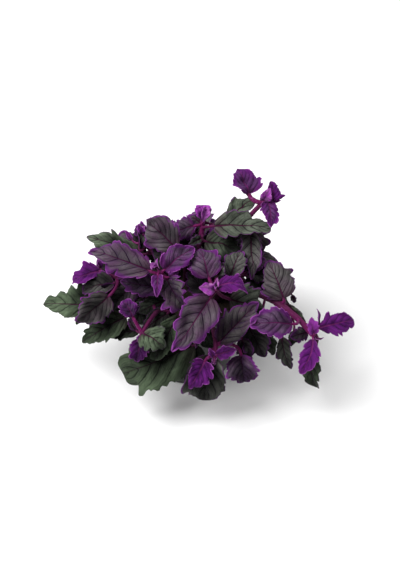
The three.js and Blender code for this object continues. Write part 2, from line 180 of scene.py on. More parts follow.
def spin_profile(bm, profile, steps):
    points = [bm.verts.new((radius, 0, height)) for radius, height in profile]
    line = [bm.edges.new(pair) for pair in zip(points, points[1:])]
    bmesh.ops.spin(
        bm, geom=points + line, axis=(0, 0, 1), angle=2 * math.pi, steps=steps, use_merge=True
    )
    bmesh.ops.remove_doubles(bm, verts=bm.verts, dist=MERGED_WITHIN)
    bmesh.ops.recalc_face_normals(bm, faces=bm.faces)
    for face in bm.faces:
        face.smooth = True


def grain(tree, scale, detail, roughness=0.5):
    """Noise in the piece's own space, with scale grains to the metre."""
    place = node(tree, "ShaderNodeTexCoord").outputs["Object"]
    sizes = {"Vector": place, "Scale": scale, "Detail": detail, "Roughness": roughness}
    return node(tree, "ShaderNodeTexNoise", sizes).outputs["Fac"]


def stretch(tree, value, start, end, low=0, high=1):
    """The value drawn out, so that from start to end it runs from low to high."""
    ends = {"Value": value, "From Min": start, "From Max": end, "To Min": low, "To Max": high}
    return node(tree, "ShaderNodeMapRange", ends).outputs["Result"]


def mixed(tree, factor, first, second):
    made = node(tree, "ShaderNodeMix", {"Factor": factor, 6: first, 7: second}, data_type="RGBA")
    return made.outputs[2]


def feed(shader, **sockets):
    """Links outputs to the shader's inputs, such as base_color=scuffed."""
    for socket, output in sockets.items():
        shader.id_data.links.new(output, shader.inputs[socket.replace("_", " ").title()])


def relief(tree, height, strength, distance):
    given = {"Height": height, "Strength": strength, "Distance": distance}
    return node(tree, "ShaderNodeBump", given).outputs["Normal"]


plastic, tree, shader = new_material("dark_moulded_plastic", roughness=0.5)
worn = stretch(tree, grain(tree, 90, 6, 0.7), 0.5, 0.75)
feed(
    shader,
    base_color=mixed(tree, worn, POT_COLOUR, SCUFF_COLOUR),
    roughness=stretch(tree, worn, 0, 1, 0.42, 0.65),
    normal=relief(tree, grain(tree, 900, 2), 0.15, 0.0003),
)

bm = bmesh.new()
spin_profile(bm, pot_profile, POT_STEPS)
corners = [edge for edge in bm.edges if edge.is_manifold and edge.calc_face_angle() > SHARP_CORNER]
bmesh.ops.bevel(
    bm,
    geom=corners,
    offset=EDGE_ROUNDING,
    segments=2,
    profile=0.5,
    affect="EDGES",
    material=-1,
    clamp_overlap=True,
)
pot = finish_mesh(bm, "nursery_pot", [plastic])
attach(pot, "root")
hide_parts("pot")


# The potting soil: peat and fine bark, heaped a little in the middle, with loose crumbs and a few
# white grains on top. The filling is spun and roughened, and each crumb is a small squashed ball.
SOIL_GAP = 0.7
SOIL_TOP = 79
SOIL_CROWN = 3
SOIL_STEPS = 72
SOIL_RINGS = 24
SOIL_EDGE = 1 / 6
LUMP_HEIGHT = 1.6
LUMP_WIDTH = 7
CLOD_HEIGHT = 0.7
CLOD_WIDTH = 2.4
CRUMBS = 520
CRUMB_SIZE = (0.7, 2.4)
CRUMBS_OFF_WALL = 3
PEAT = (0.018, 0.011, 0.007, 1)
PEAT_LIGHT = (0.055, 0.034, 0.021, 1)
GRAIN = (0.55, 0.53, 0.48, 1)
WHITE_GRAINS = 0.07
SOIL_SEED = 4


def soil_height(x, y):
    share = math.hypot(x, y) / soil_radius
    rough = LUMP_HEIGHT * noise.noise(Vector((x, y, 0)) / LUMP_WIDTH)
    rough += CLOD_HEIGHT * noise.noise(Vector((x, y, 9)) / CLOD_WIDTH)
    return SOIL_TOP + SOIL_CROWN * (1 - share**2) + rough * min(1, (1 - share) / SOIL_EDGE)


soil_radius = rim_radius - POT_WALL - SOIL_GAP - POT_TAPER * (pot_height - SOIL_TOP) / pot_height
soil_profile = [(0, POT_FLOOR + 0.4), (foot_radius - POT_WALL - SOIL_GAP, POT_FLOOR + 0.4)]
soil_profile += [(soil_radius * (1 - ring / SOIL_RINGS), SOIL_TOP) for ring in range(SOIL_RINGS + 1)]

peat, tree, shader = new_material("potting_soil", roughness=0.95)
lumps = grain(tree, 260, 8, 0.75)
browns = mixed(tree, stretch(tree, lumps, 0.42, 0.7), PEAT, PEAT_LIGHT)
feed(shader, base_color=browns, normal=relief(tree, lumps, 0.8, 0.001))
grit, tree, shader = new_material("white_grains", base_color=GRAIN, roughness=0.9)

bm = bmesh.new()
spin_profile(bm, soil_profile, SOIL_STEPS)
for vert in bm.verts:
    if vert.co.z > SOIL_TOP - 1:
        vert.co.z = soil_height(vert.co.x, vert.co.y)
draw = random.Random(SOIL_SEED)
for crumb in range(CRUMBS):
    reach = (soil_radius - CRUMBS_OFF_WALL) * math.sqrt(draw.random())
    angle = draw.uniform(0, 2 * math.pi)
    x, y = reach * math.cos(angle), reach * math.sin(angle)
    size = draw.uniform(*CRUMB_SIZE)
    squash = Matrix.Diagonal((1, draw.uniform(0.5, 1), draw.uniform(0.4, 0.8), 1))
    turn = Matrix.Rotation(draw.uniform(0, math.pi), 4, "Z") @ Matrix.Rotation(draw.uniform(0, 1), 4, "X")
    seat = Matrix.Translation((x, y, soil_height(x, y) + 0.1 * size))
    ball = bmesh.ops.create_icosphere(bm, subdivisions=1, radius=0.5 * size, matrix=seat @ turn @ squash)
    if draw.random() < WHITE_GRAINS:
        for face in {face for vert in ball["verts"] for face in vert.link_faces}:
            face.material_index = 1
soil = finish_mesh(bm, "soil_filling", [peat, grit])
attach(soil, "root")
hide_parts("potting_soil")


# The shoots that the viewer sees, each grown from its foot in the soil straight up, over an elbow and
# out to its growing tip. Their leaves are placed one by one: where each leaves the stem, its blade's
# base and tip, its width and its bloom, which is how violet it is, from 0 to 1.
STEM_FOOT_DEPTH = 12

shoots = {}


def curve_point(points, share):
    while len(points) > 1:
        points = [first.lerp(second, share) for first, second in zip(points, points[1:])]
    return points[0]


def curve_direction(points, share):
    return curve_point([second - first for first, second in zip(points, points[1:])], share).normalized()


def stem_curve(foot, rise, elbow, tip):
    low = Vector((*foot, SOIL_TOP - STEM_FOOT_DEPTH))
    return [low, low + Vector((0, 0, rise)), elbow, tip]


def seen(right, up, near):
    """A place in the foliage as the viewer sees it: right and up in the picture, and nearer the eye."""
    shrink = 1 - near / EYE_DISTANCE
    return LOOKED_AT + right * shrink * RIGHT + up * shrink * UPWARD + near * TO_EYE


def leaf(at, base, tip, wide, bloom, **more):
    """A leaf seen by the viewer, at its place on the stem from 0 at the foot to 1 at the tip."""
    return {"at": at, "base": seen(*base), "tip": seen(*tip), "wide": wide, "bloom": bloom, **more}


def inner_leaf(at, base, tip, wide, bloom):
    """A leaf that lies flat over the soil, with its base and tip at plain x, y and z."""
    flat = {"facing": Vector((0, 0, 1))}
    return {"at": at, "base": Vector(base), "tip": Vector(tip), "wide": wide, "bloom": bloom, **flat}


def front_shoot(name, slot, foot, rise, elbow, tip, leaves, girth=1):
    stem = stem_curve(foot, rise, seen(*elbow), seen(*tip))
    shoots[name] = {"slot": slot, "stem": stem, "leaves": leaves, "girth": girth}


front_shoot(
    "mid_left", "foliage_purple",
    foot=(-12, -14), rise=60, elbow=(-26, -8, 50), tip=(-41, 15, 66),
    leaves=[
        leaf(0.93, (-50, 14, 66), (-113, 36, 44), 35, 0.55, roll=12, bite=0.3),
        leaf(0.95, (-36, 15, 66), (-4, 39, 60), 25, 0.7, roll=-15, bite=0.1),
        leaf(0.99, (-42, 10, 70), (-43, -12, 80), 12, 0.72, fold=0.3, bite=0.08),
        leaf(0.86, (-33, 6, 62), (-13, -28, 74), 33, 0.5, roll=15, fold=0.45, bite=0.3),
        leaf(0.9, (-31, 8, 68), (-21, 13, 74), 8, 0.6),
        leaf(0.72, (-36, -4, 54), (-83, 4, 40), 23, 0.65, roll=5),
        leaf(0.7, (-24, 37, 46), (-54, 66, 30), 37, 0.44, roll=-5),
        leaf(0.97, (-44, 17, 66), (-50, 22, 70), 7, 1.3),
        leaf(0.8, (-26, 24, 47), (-48, 36, 40), 22, 0.35, roll=10),
    ],
)
front_shoot(
    "left", "foliage_purple",
    foot=(-27, -4), rise=55, elbow=(-74, -2, 34), tip=(-100, 14, 22),
    leaves=[
        leaf(0.99, (-99, 14, 24), (-129, 4, 14), 21, 0.95, roll=25, skew=0.8),
        leaf(0.96, (-100, 17, 20), (-103, 25, 16), 9, 0.95, roll=60),
        leaf(0.8, (-86, 2, 30), (-119, -6, 16), 25, 0.3, roll=20),
        leaf(0.78, (-91, -11, 42), (-124, -38, 34), 32, 0.35, roll=-10),
        leaf(0.68, (-66, 0, 30), (-94, -26, 16), 34, 0.4, roll=10),
    ],
)
front_shoot(
    "top_left", "foliage_green",
    foot=(-24, 6), rise=50, elbow=(-48, 32, 18), tip=(-55, 50, 22),
    leaves=[
        leaf(0.8, (-56, 31, 14), (-117, 49, 0), 22, 0.08, roll=10, skew=0.76),
        leaf(0.85, (-60, 36, 26), (-64, 57, 18), 13, 0.3, roll=50, fold=0.5),
        leaf(0.95, (-55, 53, 20), (-66, 56, 12), 15, 0.6, roll=20),
        leaf(0.99, (-57, 51, 26), (-62, 61, 30), 7, 0.9),
        leaf(0.9, (-68, 45, 17), (-75, 55, 14), 5, 0.9),
    ],
)
front_shoot(
    "top", "foliage_green",
    foot=(0, 14), rise=50, elbow=(3, 40, 14), tip=(3, 66, 20), girth=1.3,
    leaves=[
        leaf(0.93, (-6, 59, 20), (-30, 51, 8), 25, 0.6, roll=20),
        leaf(
            0.99, (3, 62, 24), (3, 80, 30), 17, 1.2, skew=1.8, fullness=(1.4, 0.3), bite=0.1,
            stoutness=1.5,
        ),
        leaf(0.995, (3, 63, 28), (7, 78, 32), 10, 1.3, skew=1.4, fullness=(1.0, 0.3), bite=0.1),
        leaf(0.96, (1, 62, 16), (-11, 70, 8), 10, 0.4),
        leaf(0.8, (1, 47, 24), (-12, 40, 32), 10, 0.15),
        leaf(0.88, (14, 59, 34), (72, 57, 38), 28, 0.16, roll=-15, bite=0.3, fullness=(0.5, 0.5)),
        leaf(0.75, (5, 44, 20), (43, 33, 26), 32, 0.12, roll=-20),
        leaf(0.7, (-2, 42, 10), (-28, 40, 2), 30, 0.3, roll=20),
        leaf(0.97, (29, 66, 24), (56, 88, 18), 22, 0.13, roll=-30, bite=0.07, teeth=3, fold=0.1),
        inner_leaf(0.46, (12, 2, 120), (50, -22, 118), 30, 0.1),
        inner_leaf(0.48, (-4, 6, 124), (-40, -20, 124), 28, 0.1),
    ],
)
front_shoot(
    "top_right", "foliage_purple",
    foot=(20, 10), rise=60, elbow=(46, 66, 28), tip=(64, 84, 36), girth=1.25,
    leaves=[
        leaf(0.97, (49, 91, 36), (37, 117, 26), 29, 0.82, roll=25, bite=0.14, skew=0.6, stoutness=1.5),
        leaf(0.98, (72, 82, 34), (71, 105, 26), 21, 0.95, roll=25, fold=0.4, bite=0.35, droop=-0.2),
        leaf(0.98, (64, 84, 42), (70, 97, 50), 12, 1.3, bite=0.1, stoutness=1.5),
        leaf(0.99, (68, 84, 42), (72, 57, 48), 18, 0.82, roll=-15),
        leaf(0.7, (50, 53, 26), (53, 5, 42), 22, 0.3, roll=-10),
        leaf(0.65, (56, 55, 16), (61, 28, 20), 20, 0.5, roll=-40),
    ],
)
front_shoot(
    "middle", "foliage_purple",
    foot=(8, -16), rise=60, elbow=(20, -12, 60), tip=(17, -3, 78),
    leaves=[
        leaf(0.92, (9, 7, 70), (0, 38, 52), 33, 0.6, roll=5, bite=0.16),
        leaf(0.97, (17, -2, 78), (50, -7, 70), 20, 0.95, roll=-40, arch=0.2, sway=-0.1, bite=0.12),
        leaf(0.99, (15, -5, 80), (-1, -2, 86), 12, 1.35, fold=0.35, bite=0.12),
        leaf(0.94, (11, -12, 80), (-28, -69, 86), 38, 0.55, roll=-5, skew=0.6, fullness=(0.5, 1.35)),
        leaf(0.98, (18, 10, 66), (24, 19, 62), 10, 0.2),
        leaf(0.85, (30, -14, 56), (66, -28, 40), 36, 0.18, roll=-20),
        leaf(0.8, (30, 8, 50), (41, 35, 38), 24, 0.25, roll=-10),
        leaf(0.7, (6, -8, 54), (-12, 14, 50), 26, 0.4, roll=10),
    ],
)
front_shoot(
    "right", "foliage_purple",
    foot=(26, -4), rise=58, elbow=(84, -12, 46), tip=(113, -50, 52), girth=1.45,
    leaves=[
        leaf(0.99, (118, -43, 50), (154, -35, 44), 25, 0.95, roll=-10, skew=1.05, bite=0.3),
        leaf(0.98, (113, -54, 58), (100, -89, 66), 18, 0.95, roll=15, sway=-0.09, skew=0.9),
        leaf(0.95, (117, -57, 50), (114, -104, 46), 21, 0.08, roll=30, sway=0.06, skew=1.2),
        leaf(0.99, (114, -49, 58), (111, -32, 62), 11, 1.1, stoutness=1.2),
        leaf(0.97, (118, -42, 46), (118, -23, 42), 5, 0.5, roll=60),
        leaf(0.85, (93, -39, 64), (50, -38, 74), 29, 0.68, roll=10, skew=0.8),
        leaf(0.93, (108, -47, 44), (90, -52, 40), 15, 0.5),
        leaf(0.75, (82, -52, 38), (91, -86, 36), 16, 0.2, roll=30),
        leaf(0.7, (94, -46, 32), (91, -62, 28), 10, 0.12),
        leaf(0.55, (48, -41, 42), (65, -73, 38), 28, 0.36),
        leaf(0.62, (84, -14, 44), (68, 25, 32), 38, 0.38, roll=5, bite=0.26),
        leaf(0.75, (88, -20, 32), (107, -38, 32), 8, 0.08),
        leaf(0.62, (92, -10, 24), (95, -18, 20), 6, 0.3),
        leaf(0.6, (66, -50, 36), (75, -71, 30), 15, 0.1),
    ],
)
front_shoot(
    "front", "foliage_purple",
    foot=(10, -30), rise=52, elbow=(20, -48, 66), tip=(15, -72, 70),
    leaves=[
        leaf(0.97, (5, -76, 72), (-11, -104, 74), 29, 0.95, roll=-5, bite=0.4),
        leaf(0.98, (16, -70, 72), (37, -64, 70), 12, 0.92),
        leaf(0.99, (14, -72, 72), (9, -63, 76), 6, 0.9),
        leaf(0.9, (9, -70, 60), (4, -117, 50), 45, 0.2, roll=5, skew=0.8, bite=0.14, teeth=4),
        leaf(0.85, (41, -70, 56), (45, -98, 54), 37, 0.6, roll=10, skew=0.8, fold=0.45, bite=0.2),
        leaf(0.75, (19, -58, 66), (59, -17, 54), 31, 0.48, roll=-10),
        leaf(0.7, (42, -54, 48), (50, -76, 44), 18, 0.4, roll=10),
    ],
)
front_shoot(
    "front_left", "foliage_green",
    foot=(-18, -24), rise=48, elbow=(-50, -34, 54), tip=(-59, -50, 56),
    leaves=[
        leaf(0.95, (-67, -32, 60), (-76, -15, 60), 19, 0.78, roll=10, skew=1, stoutness=1.35),
        leaf(0.98, (-57, -48, 62), (-35, -64, 68), 27, 0.06, roll=-20, arch=0.2),
        leaf(0.98, (-59, -54, 58), (-64, -78, 54), 18, 0.9),
        leaf(0.92, (-64, -45, 48), (-72, -33, 44), 9, 0.4),
        leaf(0.99, (-60, -51, 62), (-62, -57, 66), 5, 0.85),
        leaf(0.4, (-34, -14, 38), (-62, -28, 34), 24, 0.15),
        leaf(0.55, (-32, -28, 41), (-57, -45, 36), 24, 0.2),
        leaf(0.6, (-54, -14, 30), (-66, -42, 24), 30, 0.2),
    ],
)
front_shoot(
    "low_left", "foliage_green",
    foot=(-34, -12), rise=44, elbow=(-70, -18, 26), tip=(-90, -20, 16),
    leaves=[
        leaf(0.98, (-100, -21, 10), (-157, -19, -10), 37, 0.03, roll=10, bite=0.32, teeth=5),
        leaf(0.8, (-74, -32, 30), (-120, -58, 16), 31, 0.03, roll=10, fullness=(0.5, 1.2)),
        leaf(0.7, (-61, -45, 30), (-92, -52, 20), 18, 0.05, roll=20),
    ],
)
front_shoot(
    "low_front", "foliage_green",
    foot=(-6, -34), rise=46, elbow=(-6, -44, 52), tip=(-4, -52, 56),
    leaves=[
        leaf(
            0.97, (-5, -60, 50), (-80, -91, 38), 56, 0.0, roll=0, skew=0.9, bite=0.17, teeth=5,
            fullness=(0.55, 0.55), fold=0.12, droop=-0.25, twist=0.1,
        ),
        leaf(0.9, (-21, -30, 58), (-46, -76, 58), 24, 0.02, roll=10, fold=0.2, bite=0.12, skew=0.9),
        leaf(0.8, (2, -42, 48), (12, -64, 46), 22, 0.1),
        leaf(0.99, (-3, -60, 47), (-14, -96, 34), 24, 0.06),
    ],
)


# The shoots in the crown and at the back, which the viewer hardly sees: each leans out along its own
# heading, with its oldest and largest leaves low on the stem. Those on its high side are held up and
# the others down, and all are held up where high is 0, so that they lie over each other like tiles.
CROWN = {"foot": 24, "rise": 50, "crest": 8, "leaves": 6, "spread": 46, "young_dip": 28, "old_dip": -18}
BACK = {"foot": 34, "rise": 42, "crest": 10, "leaves": 6, "spread": 46, "young_dip": 24, "old_dip": -24}
HANGING = {"foot": 45, "rise": 38, "crest": 42, "leaves": 4, "spread": 34, "young_dip": -58, "old_dip": -40}
ELBOW_REACH = 0.9
YOUNGEST_AT = 0.99
LEAFY_SHARE = 0.4
OLDEST_LEAF = 56
YOUNGEST_LEAF = 20
YOUNGEST_SPREAD = 10
LEAF_SLIMNESS = 0.54
STALK_SHARE = 0.25
LEAF_ARCH = 0.12
GROWTH_POWER = 0.6
BLOOM_POWER = 0.7
FACE_UP = 0.9
TILING = 8
TURN_SCATTER = 8
DIP_SCATTER = 6
SIZE_SCATTER = 0.1
BLOOM_SCATTER = 0.12
BLOOM_BY_AGE = {"foliage_purple": (0.95, 0.42), "foliage_green": (0.85, 0.12)}
DRAWS_PER_SEED = 10
DIP_DRAWS = 2000
SIZE_DRAWS = 4000
BLOOM_DRAWS = 6000


def turned(degrees, radius, height):
    angle = math.radians(degrees)
    return Vector((radius * math.cos(angle), radius * math.sin(angle), height))


def scatter(number):
    """A repeatable draw from -1 to 1 for each whole number."""
    return 2 * ((math.sin(number * 12.9898) * 43758.5453) % 1) - 1


def between(first, second, share):
    return first + (second - first) * share


def back_shoot(name, slot, habit, heading, reach, top, high, seed):
    foot = turned(heading, habit["foot"], 0).xy
    elbow = turned(heading, ELBOW_REACH * reach, top + habit["crest"])
    stem = stem_curve(foot, habit["rise"], elbow, turned(heading, reach, top))
    young, old = BLOOM_BY_AGE[slot]
    leaves = []
    for k in range(habit["leaves"]):
        age = 1 - k / (habit["leaves"] - 1)
        draw = DRAWS_PER_SEED * seed + k
        at = YOUNGEST_AT - LEAFY_SHARE * age
        hand = 1 if k % 2 else -1
        held = TILING if high in (0, hand) else -TILING
        turn = hand * between(YOUNGEST_SPREAD, habit["spread"], age) + TURN_SCATTER * scatter(draw)
        dip = between(habit["young_dip"], habit["old_dip"], age) + held
        dip += DIP_SCATTER * scatter(draw + DIP_DRAWS)
        out = turned(heading + turn, 1, math.tan(math.radians(dip))).normalized()
        grown = between(YOUNGEST_LEAF, OLDEST_LEAF, age**GROWTH_POWER)
        size = grown * (1 + SIZE_SCATTER * scatter(draw + SIZE_DRAWS))
        base = curve_point(stem, at) + STALK_SHARE * size * out
        facts = {"at": at, "base": base, "tip": base + size * out, "wide": LEAF_SLIMNESS * size}
        facts["bloom"] = between(young, old, age**BLOOM_POWER)
        facts["bloom"] += BLOOM_SCATTER * scatter(draw + BLOOM_DRAWS)
        facts["facing"] = turned(heading + turn, 1, FACE_UP).normalized()
        facts["arch"] = LEAF_ARCH
        leaves.append(facts)
    shoots[name] = {"slot": slot, "stem": stem, "leaves": leaves, "girth": 1}


back_shoot("crown_1", "foliage_purple", CROWN, heading=50, reach=37, top=120, high=-1, seed=43)
back_shoot("crown_2", "foliage_green", CROWN, heading=100, reach=31, top=119, high=0, seed=71)
back_shoot("crown_3", "foliage_green", CROWN, heading=144, reach=44, top=121, high=1, seed=68)
back_shoot("back_1", "foliage_green", BACK, heading=10, reach=51, top=101, high=-1, seed=74)
back_shoot("back_2", "foliage_purple", BACK, heading=64, reach=55, top=96, high=-1, seed=71)
back_shoot("back_3", "foliage_green", BACK, heading=114, reach=47, top=90, high=-1, seed=20)
back_shoot("back_4", "foliage_green", BACK, heading=163, reach=61, top=104, high=-1, seed=72)
back_shoot("hanging_1", "foliage_purple", HANGING, heading=41, reach=80, top=62, high=1, seed=57)
back_shoot("hanging_2", "foliage_green", HANGING, heading=72, reach=85, top=64, high=1, seed=74)
back_shoot("hanging_3", "foliage_purple", HANGING, heading=109, reach=83, top=63, high=1, seed=1)
back_shoot("hanging_4", "foliage_green", HANGING, heading=144, reach=82, top=63, high=1, seed=24)


# The shape of each leaf: a soft egg-shaped blade cut into uneven, forward-pointing teeth, puffed up
# between its side veins and ruffled at the edge. Its stalk leaves the stem and bends into its midrib.
STALK_RADIUS = (0.85, 1.5)
STOUTEST_FROM = 36
EGG_SKEW = 0.66
EGG_FULLNESS = (0.5, 0.95)
BLUNT_FULLNESS = (0.6, 0.7)
BLUNT_FROM = 0.78
HALF_WIDTH = 0.52
BASE_HALF_WIDTH = 0.7
TIP_HALF_WIDTH = 0.35
TEETH_BY_WIDTH = ((30, 6), (16, 5), (9, 4), (0, 3))
TOOTH_PEAKS = (0.45, 0.8)
TOOTH_ROUNDING = (1.0, 0.62)
TOOTH_SCATTER = 0.42
TOOTH_HEIGHTS = (0.1, 1.3)
TOOTH_MIDDLE = 0.75
TOOTH_HOOK = 0.045
TOOTH_CURL = 0.22
MOST_CURLED_WIDTH = 32
BITE_FACTOR = 1.45
USUAL_BITE = 0.2
VEIN_SLOPE = 0.46
MOST_SLANT = 0.42
VEIN_CURVE = 0.06
QUILTING = 0.075
QUILT_ROUNDING = 0.6
QUILT_MIDDLE = 0.6
QUILT_START = 0.2
MARGIN_FLATNESS = 0.6
ON_MIDRIB = 0.01
MIDRIB_GROOVE = 0.04
GROOVE_WIDTH = 1.6
RUFFLE = 0.11
RUFFLES = 1.7
RUFFLE_STARTS = (0, 6.3)
SWELL = 0.15
SWELL_WAVES = (1.5, 3.4)
RUMPLE = 0.07
RUMPLE_WAVES = (4, 9)
RUMPLED_BELOW = 0.35
UNEVEN = 0.13
UNEVEN_WAVES = 2.5
JAGGED = 0.10
JAGS = 22
SIDE_BEND = 0.025
SIDE_BENDS = 1.6
FOLD = (0.05, 0.32)
MARGIN_DROOP = (-0.75, 0.25)
TWIST = 0.5
TWISTED_ABOUT = 0.35
TIP_DROOP = (0.0, 0.10)
USUAL_ARCH = 0.1
BUD_LEAVES = ((11, 24, 32), (9, -150, 24), (6, 90, 12))
BUD_SINK = 0.5
BUD_ASIDE = 0.8
BUD_SLIMNESS = 0.5
BUD_LOOKS = {"at": 0.985, "bloom": 1.4, "arch": 0.2, "fold": 0.5}


class Margin:
    """One side of a blade: where its teeth stand, how deep they are cut and how each one curls."""

    def __init__(self, teeth, rounding, slant, draw):
        self.rounding = rounding
        self.slant = slant
        self.valleys = [0.0]
        for tooth in range(1, teeth):
            self.valleys.append((tooth + TOOTH_SCATTER * draw.uniform(-1, 1)) / teeth)
        self.valleys.append(1.0)
        self.heights = [draw.uniform(*TOOTH_HEIGHTS) for _ in range(teeth)]
        self.curls = [TOOTH_CURL * draw.uniform(-1, 1) for _ in range(teeth)]
        self.peaks = [draw.uniform(*TOOTH_PEAKS) for _ in range(teeth)]
        spans = zip(self.valleys, self.valleys[1:], self.peaks)
        self.roots = [low + peak * (high - low) - slant - VEIN_CURVE for low, high, peak in spans]
        self.phase = draw.uniform(*RUFFLE_STARTS)

    def tooth(self, t):
        """How far out the edge is at t, from 0 in a notch to 1 on a tooth, and which tooth it is."""
        which = min(sum(1 for valley in self.valleys[1:-1] if t >= valley), len(self.heights) - 1)
        low, high = self.valleys[which], self.valleys[which + 1]
        phase, peak = (t - low) / (high - low), self.peaks[which]
        slope = phase / peak if phase < peak else (1 - phase) / (1 - peak)
        return math.sin(0.5 * math.pi * max(0, slope)) ** self.rounding * self.heights[which], which

    def beat(self, u, t):
        """Counts the side veins: a whole number on each vein, which runs from the midrib to a tooth."""
        root = t - self.slant * abs(u) - VEIN_CURVE * u * u
        step = min(max(sum(1 for vein in self.roots if root >= vein) - 1, 0), len(self.roots) - 2)
        low, high = self.roots[step], self.roots[step + 1]
        return step + (root - low) / (high - low)


class Blade:
    """One leaf with its stalk: place(u, t) is the point of its bent surface that lies u of the way
    across it, from -1 to 1, and t of the way along it, from 0 to 1."""

    def __init__(self, stem, facts, seed):
        draw = random.Random(seed)
        self.wide = facts["wide"]
        self.bloom = facts["bloom"]
        self.seed = seed
        slim, stout = STALK_RADIUS
        grown = min(1, self.wide / STOUTEST_FROM)
        self.stalk_radius = facts.get("stoutness", 1) * (slim + (stout - slim) * grown)
        self.skew = facts.get("skew", EGG_SKEW)
        self.bite = BITE_FACTOR * facts.get("bite", USUAL_BITE)
        usual = BLUNT_FULLNESS if self.skew > BLUNT_FROM else EGG_FULLNESS
        self.fullness = facts.get("fullness", usual)
        base, tip = facts["base"], facts["tip"]
        self.length = (tip - base).length
        slant = min(VEIN_SLOPE * self.wide / self.length, MOST_SLANT)
        usual = next(count for width, count in TEETH_BY_WIDTH if self.wide >= width)
        teeth = facts.get("teeth", usual)
        pointed, rounded = TOOTH_ROUNDING
        rounding = pointed + (rounded - pointed) * min(1, self.bloom)
        self.margins = {side: Margin(teeth, rounding, slant, draw) for side in (-1, 1)}
        self.fold = facts.get("fold", draw.uniform(*FOLD))
        self.droop = facts.get("droop", draw.uniform(*MARGIN_DROOP))
        self.twist = facts.get("twist", draw.uniform(-TWIST, TWIST))
        along = (tip - base).normalized()
        facing = facts.get("facing", TO_EYE)
        up = (facing - facing.dot(along) * along).normalized()
        up = Matrix.Rotation(math.radians(facts.get("roll", 0)), 3, along) @ up
        self.across = along.cross(up)
        bow = facts.get("arch", USUAL_ARCH) * up + facts.get("sway", 0) * self.across
        self.rib = [base, base.lerp(tip, 0.5) + 2 * self.length * bow, tip]
        self.tip_droop = self.length * draw.uniform(*TIP_DROOP)
        root = curve_point(stem, facts["at"])
        bend = base - 0.5 * (root - base).length * curve_direction(self.rib, 0)
        self.stalk = [root, bend, base]

    def margin(self, u):
        return self.margins[1 if u >= 0 else -1]

    def beat(self, u, t):
        if abs(u) < ON_MIDRIB:
            return 0.5 * (self.margins[-1].beat(0, t) + self.margins[1].beat(0, t))
        return self.margin(u).beat(u, t)

    def drift(self, x, y):
        """A smooth wandering from -1 to 1, which each blade has to itself."""
        return noise.noise(Vector((x, y, self.seed)))

    def turned_frame(self, t):
        """The directions across the blade and up from it at t, turned by its twist."""
        level = self.across.cross(curve_direction(self.rib, t))
        turn = self.twist * (t - TWISTED_ABOUT)
        across = math.cos(turn) * self.across + math.sin(turn) * level
        return across, math.cos(turn) * level - math.sin(turn) * self.across

    def half_width(self, u, t):
        """From the midrib to the margin: an egg cut into teeth, uneven, and jagged between them."""
        fullness = self.fullness[0] + (self.fullness[1] - self.fullness[0]) * t
        egg = math.sin(math.pi * t**self.skew) ** fullness
        tooth, _ = self.margin(u).tooth(t)
        cut = self.bite * (tooth - TOOTH_MIDDLE) * abs(u) ** 3
        uneven = UNEVEN * self.drift(UNEVEN_WAVES * t, math.copysign(5, u))
        uneven += JAGGED * self.drift(JAGS * t, math.copysign(9, u)) * abs(u) ** 3
        narrowest = BASE_HALF_WIDTH if t < 0.5 else TIP_HALF_WIDTH
        return max(HALF_WIDTH * self.wide * egg * (1 + cut + uneven), narrowest)

    def lift(self, u, t, half):
        """How far the blade stands up: puffed, grooved, ruffled, swollen, and rumpled when it is old."""
        egg = math.sin(math.pi * min(t**self.skew, 1))
        margin = self.margin(u)
        tooth, which = margin.tooth(t)
        between_veins = abs(2 * ((self.beat(u, t) + 0.5) % 1) - 1)
        off_midrib = min(1, abs(u) / QUILT_START) * (1 - MARGIN_FLATNESS * u**4)
        puffed = QUILTING * (between_veins**QUILT_ROUNDING - QUILT_MIDDLE) * off_midrib
        groove = MIDRIB_GROOVE * math.exp(-((u * half / GROOVE_WIDTH) ** 2)) * (1 - t)
        wave = math.sin(2 * math.pi * RUFFLES * t + margin.phase)
        curl = margin.curls[which] * min(1, MOST_CURLED_WIDTH / self.wide)
        ruffled = RUFFLE * abs(u) ** 3 * wave + curl * tooth * abs(u) ** 5
        swell = SWELL * self.drift(SWELL_WAVES[0] * u, SWELL_WAVES[1] * t)
        aged = max(0, 1 - self.bloom / RUMPLED_BELOW)
        swell += RUMPLE * aged * self.drift(RUMPLE_WAVES[0] * u, RUMPLE_WAVES[1] * t)
        return self.wide * (egg * (puffed + ruffled + swell) - groove)

    def place(self, u, t):
        half = self.half_width(u, t)
        tooth, _ = self.margin(u).tooth(t)
        hooked = min(1, t + TOOTH_HOOK * tooth * u**4)
        across, level = self.turned_frame(hooked)
        lean = 1.5 * self.fold + self.droop * u**2 / 3
        wander = SIDE_BEND * self.drift(SIDE_BENDS * t, 8) * math.sin(math.pi * t)
        spine = curve_point(self.rib, hooked) + wander * self.length * across
        aside = u * half * math.cos(lean)
        raised = abs(u) * half * math.sin(lean) + self.lift(u, t, half) - self.tip_droop * t**4
        return spine + aside * across + raised * level


def bud_leaves(stem):
    """The smallest leaves, still folded upright round the growing tip: a size, turn and lean each."""
    growing = curve_direction(stem, 1)
    square = growing.orthogonal().normalized()
    made = []
    for size, turn, lean in BUD_LEAVES:
        side = Matrix.Rotation(math.radians(turn), 3, growing) @ square
        out = (growing + math.tan(math.radians(lean)) * side).normalized()
        base = stem[-1] - BUD_SINK * growing + BUD_ASIDE * side
        form = {"base": base, "tip": base + size * out, "wide": BUD_SLIMNESS * size}
        made.append({**BUD_LOOKS, **form, "facing": growing - side})
    return made


leaf_count = 0
for shoot in shoots.values():
    shoot["blades"] = []
    for facts in shoot["leaves"] + bud_leaves(shoot["stem"]):
        leaf_count += 1
        shoot["blades"].append(Blade(shoot["stem"], facts, leaf_count))


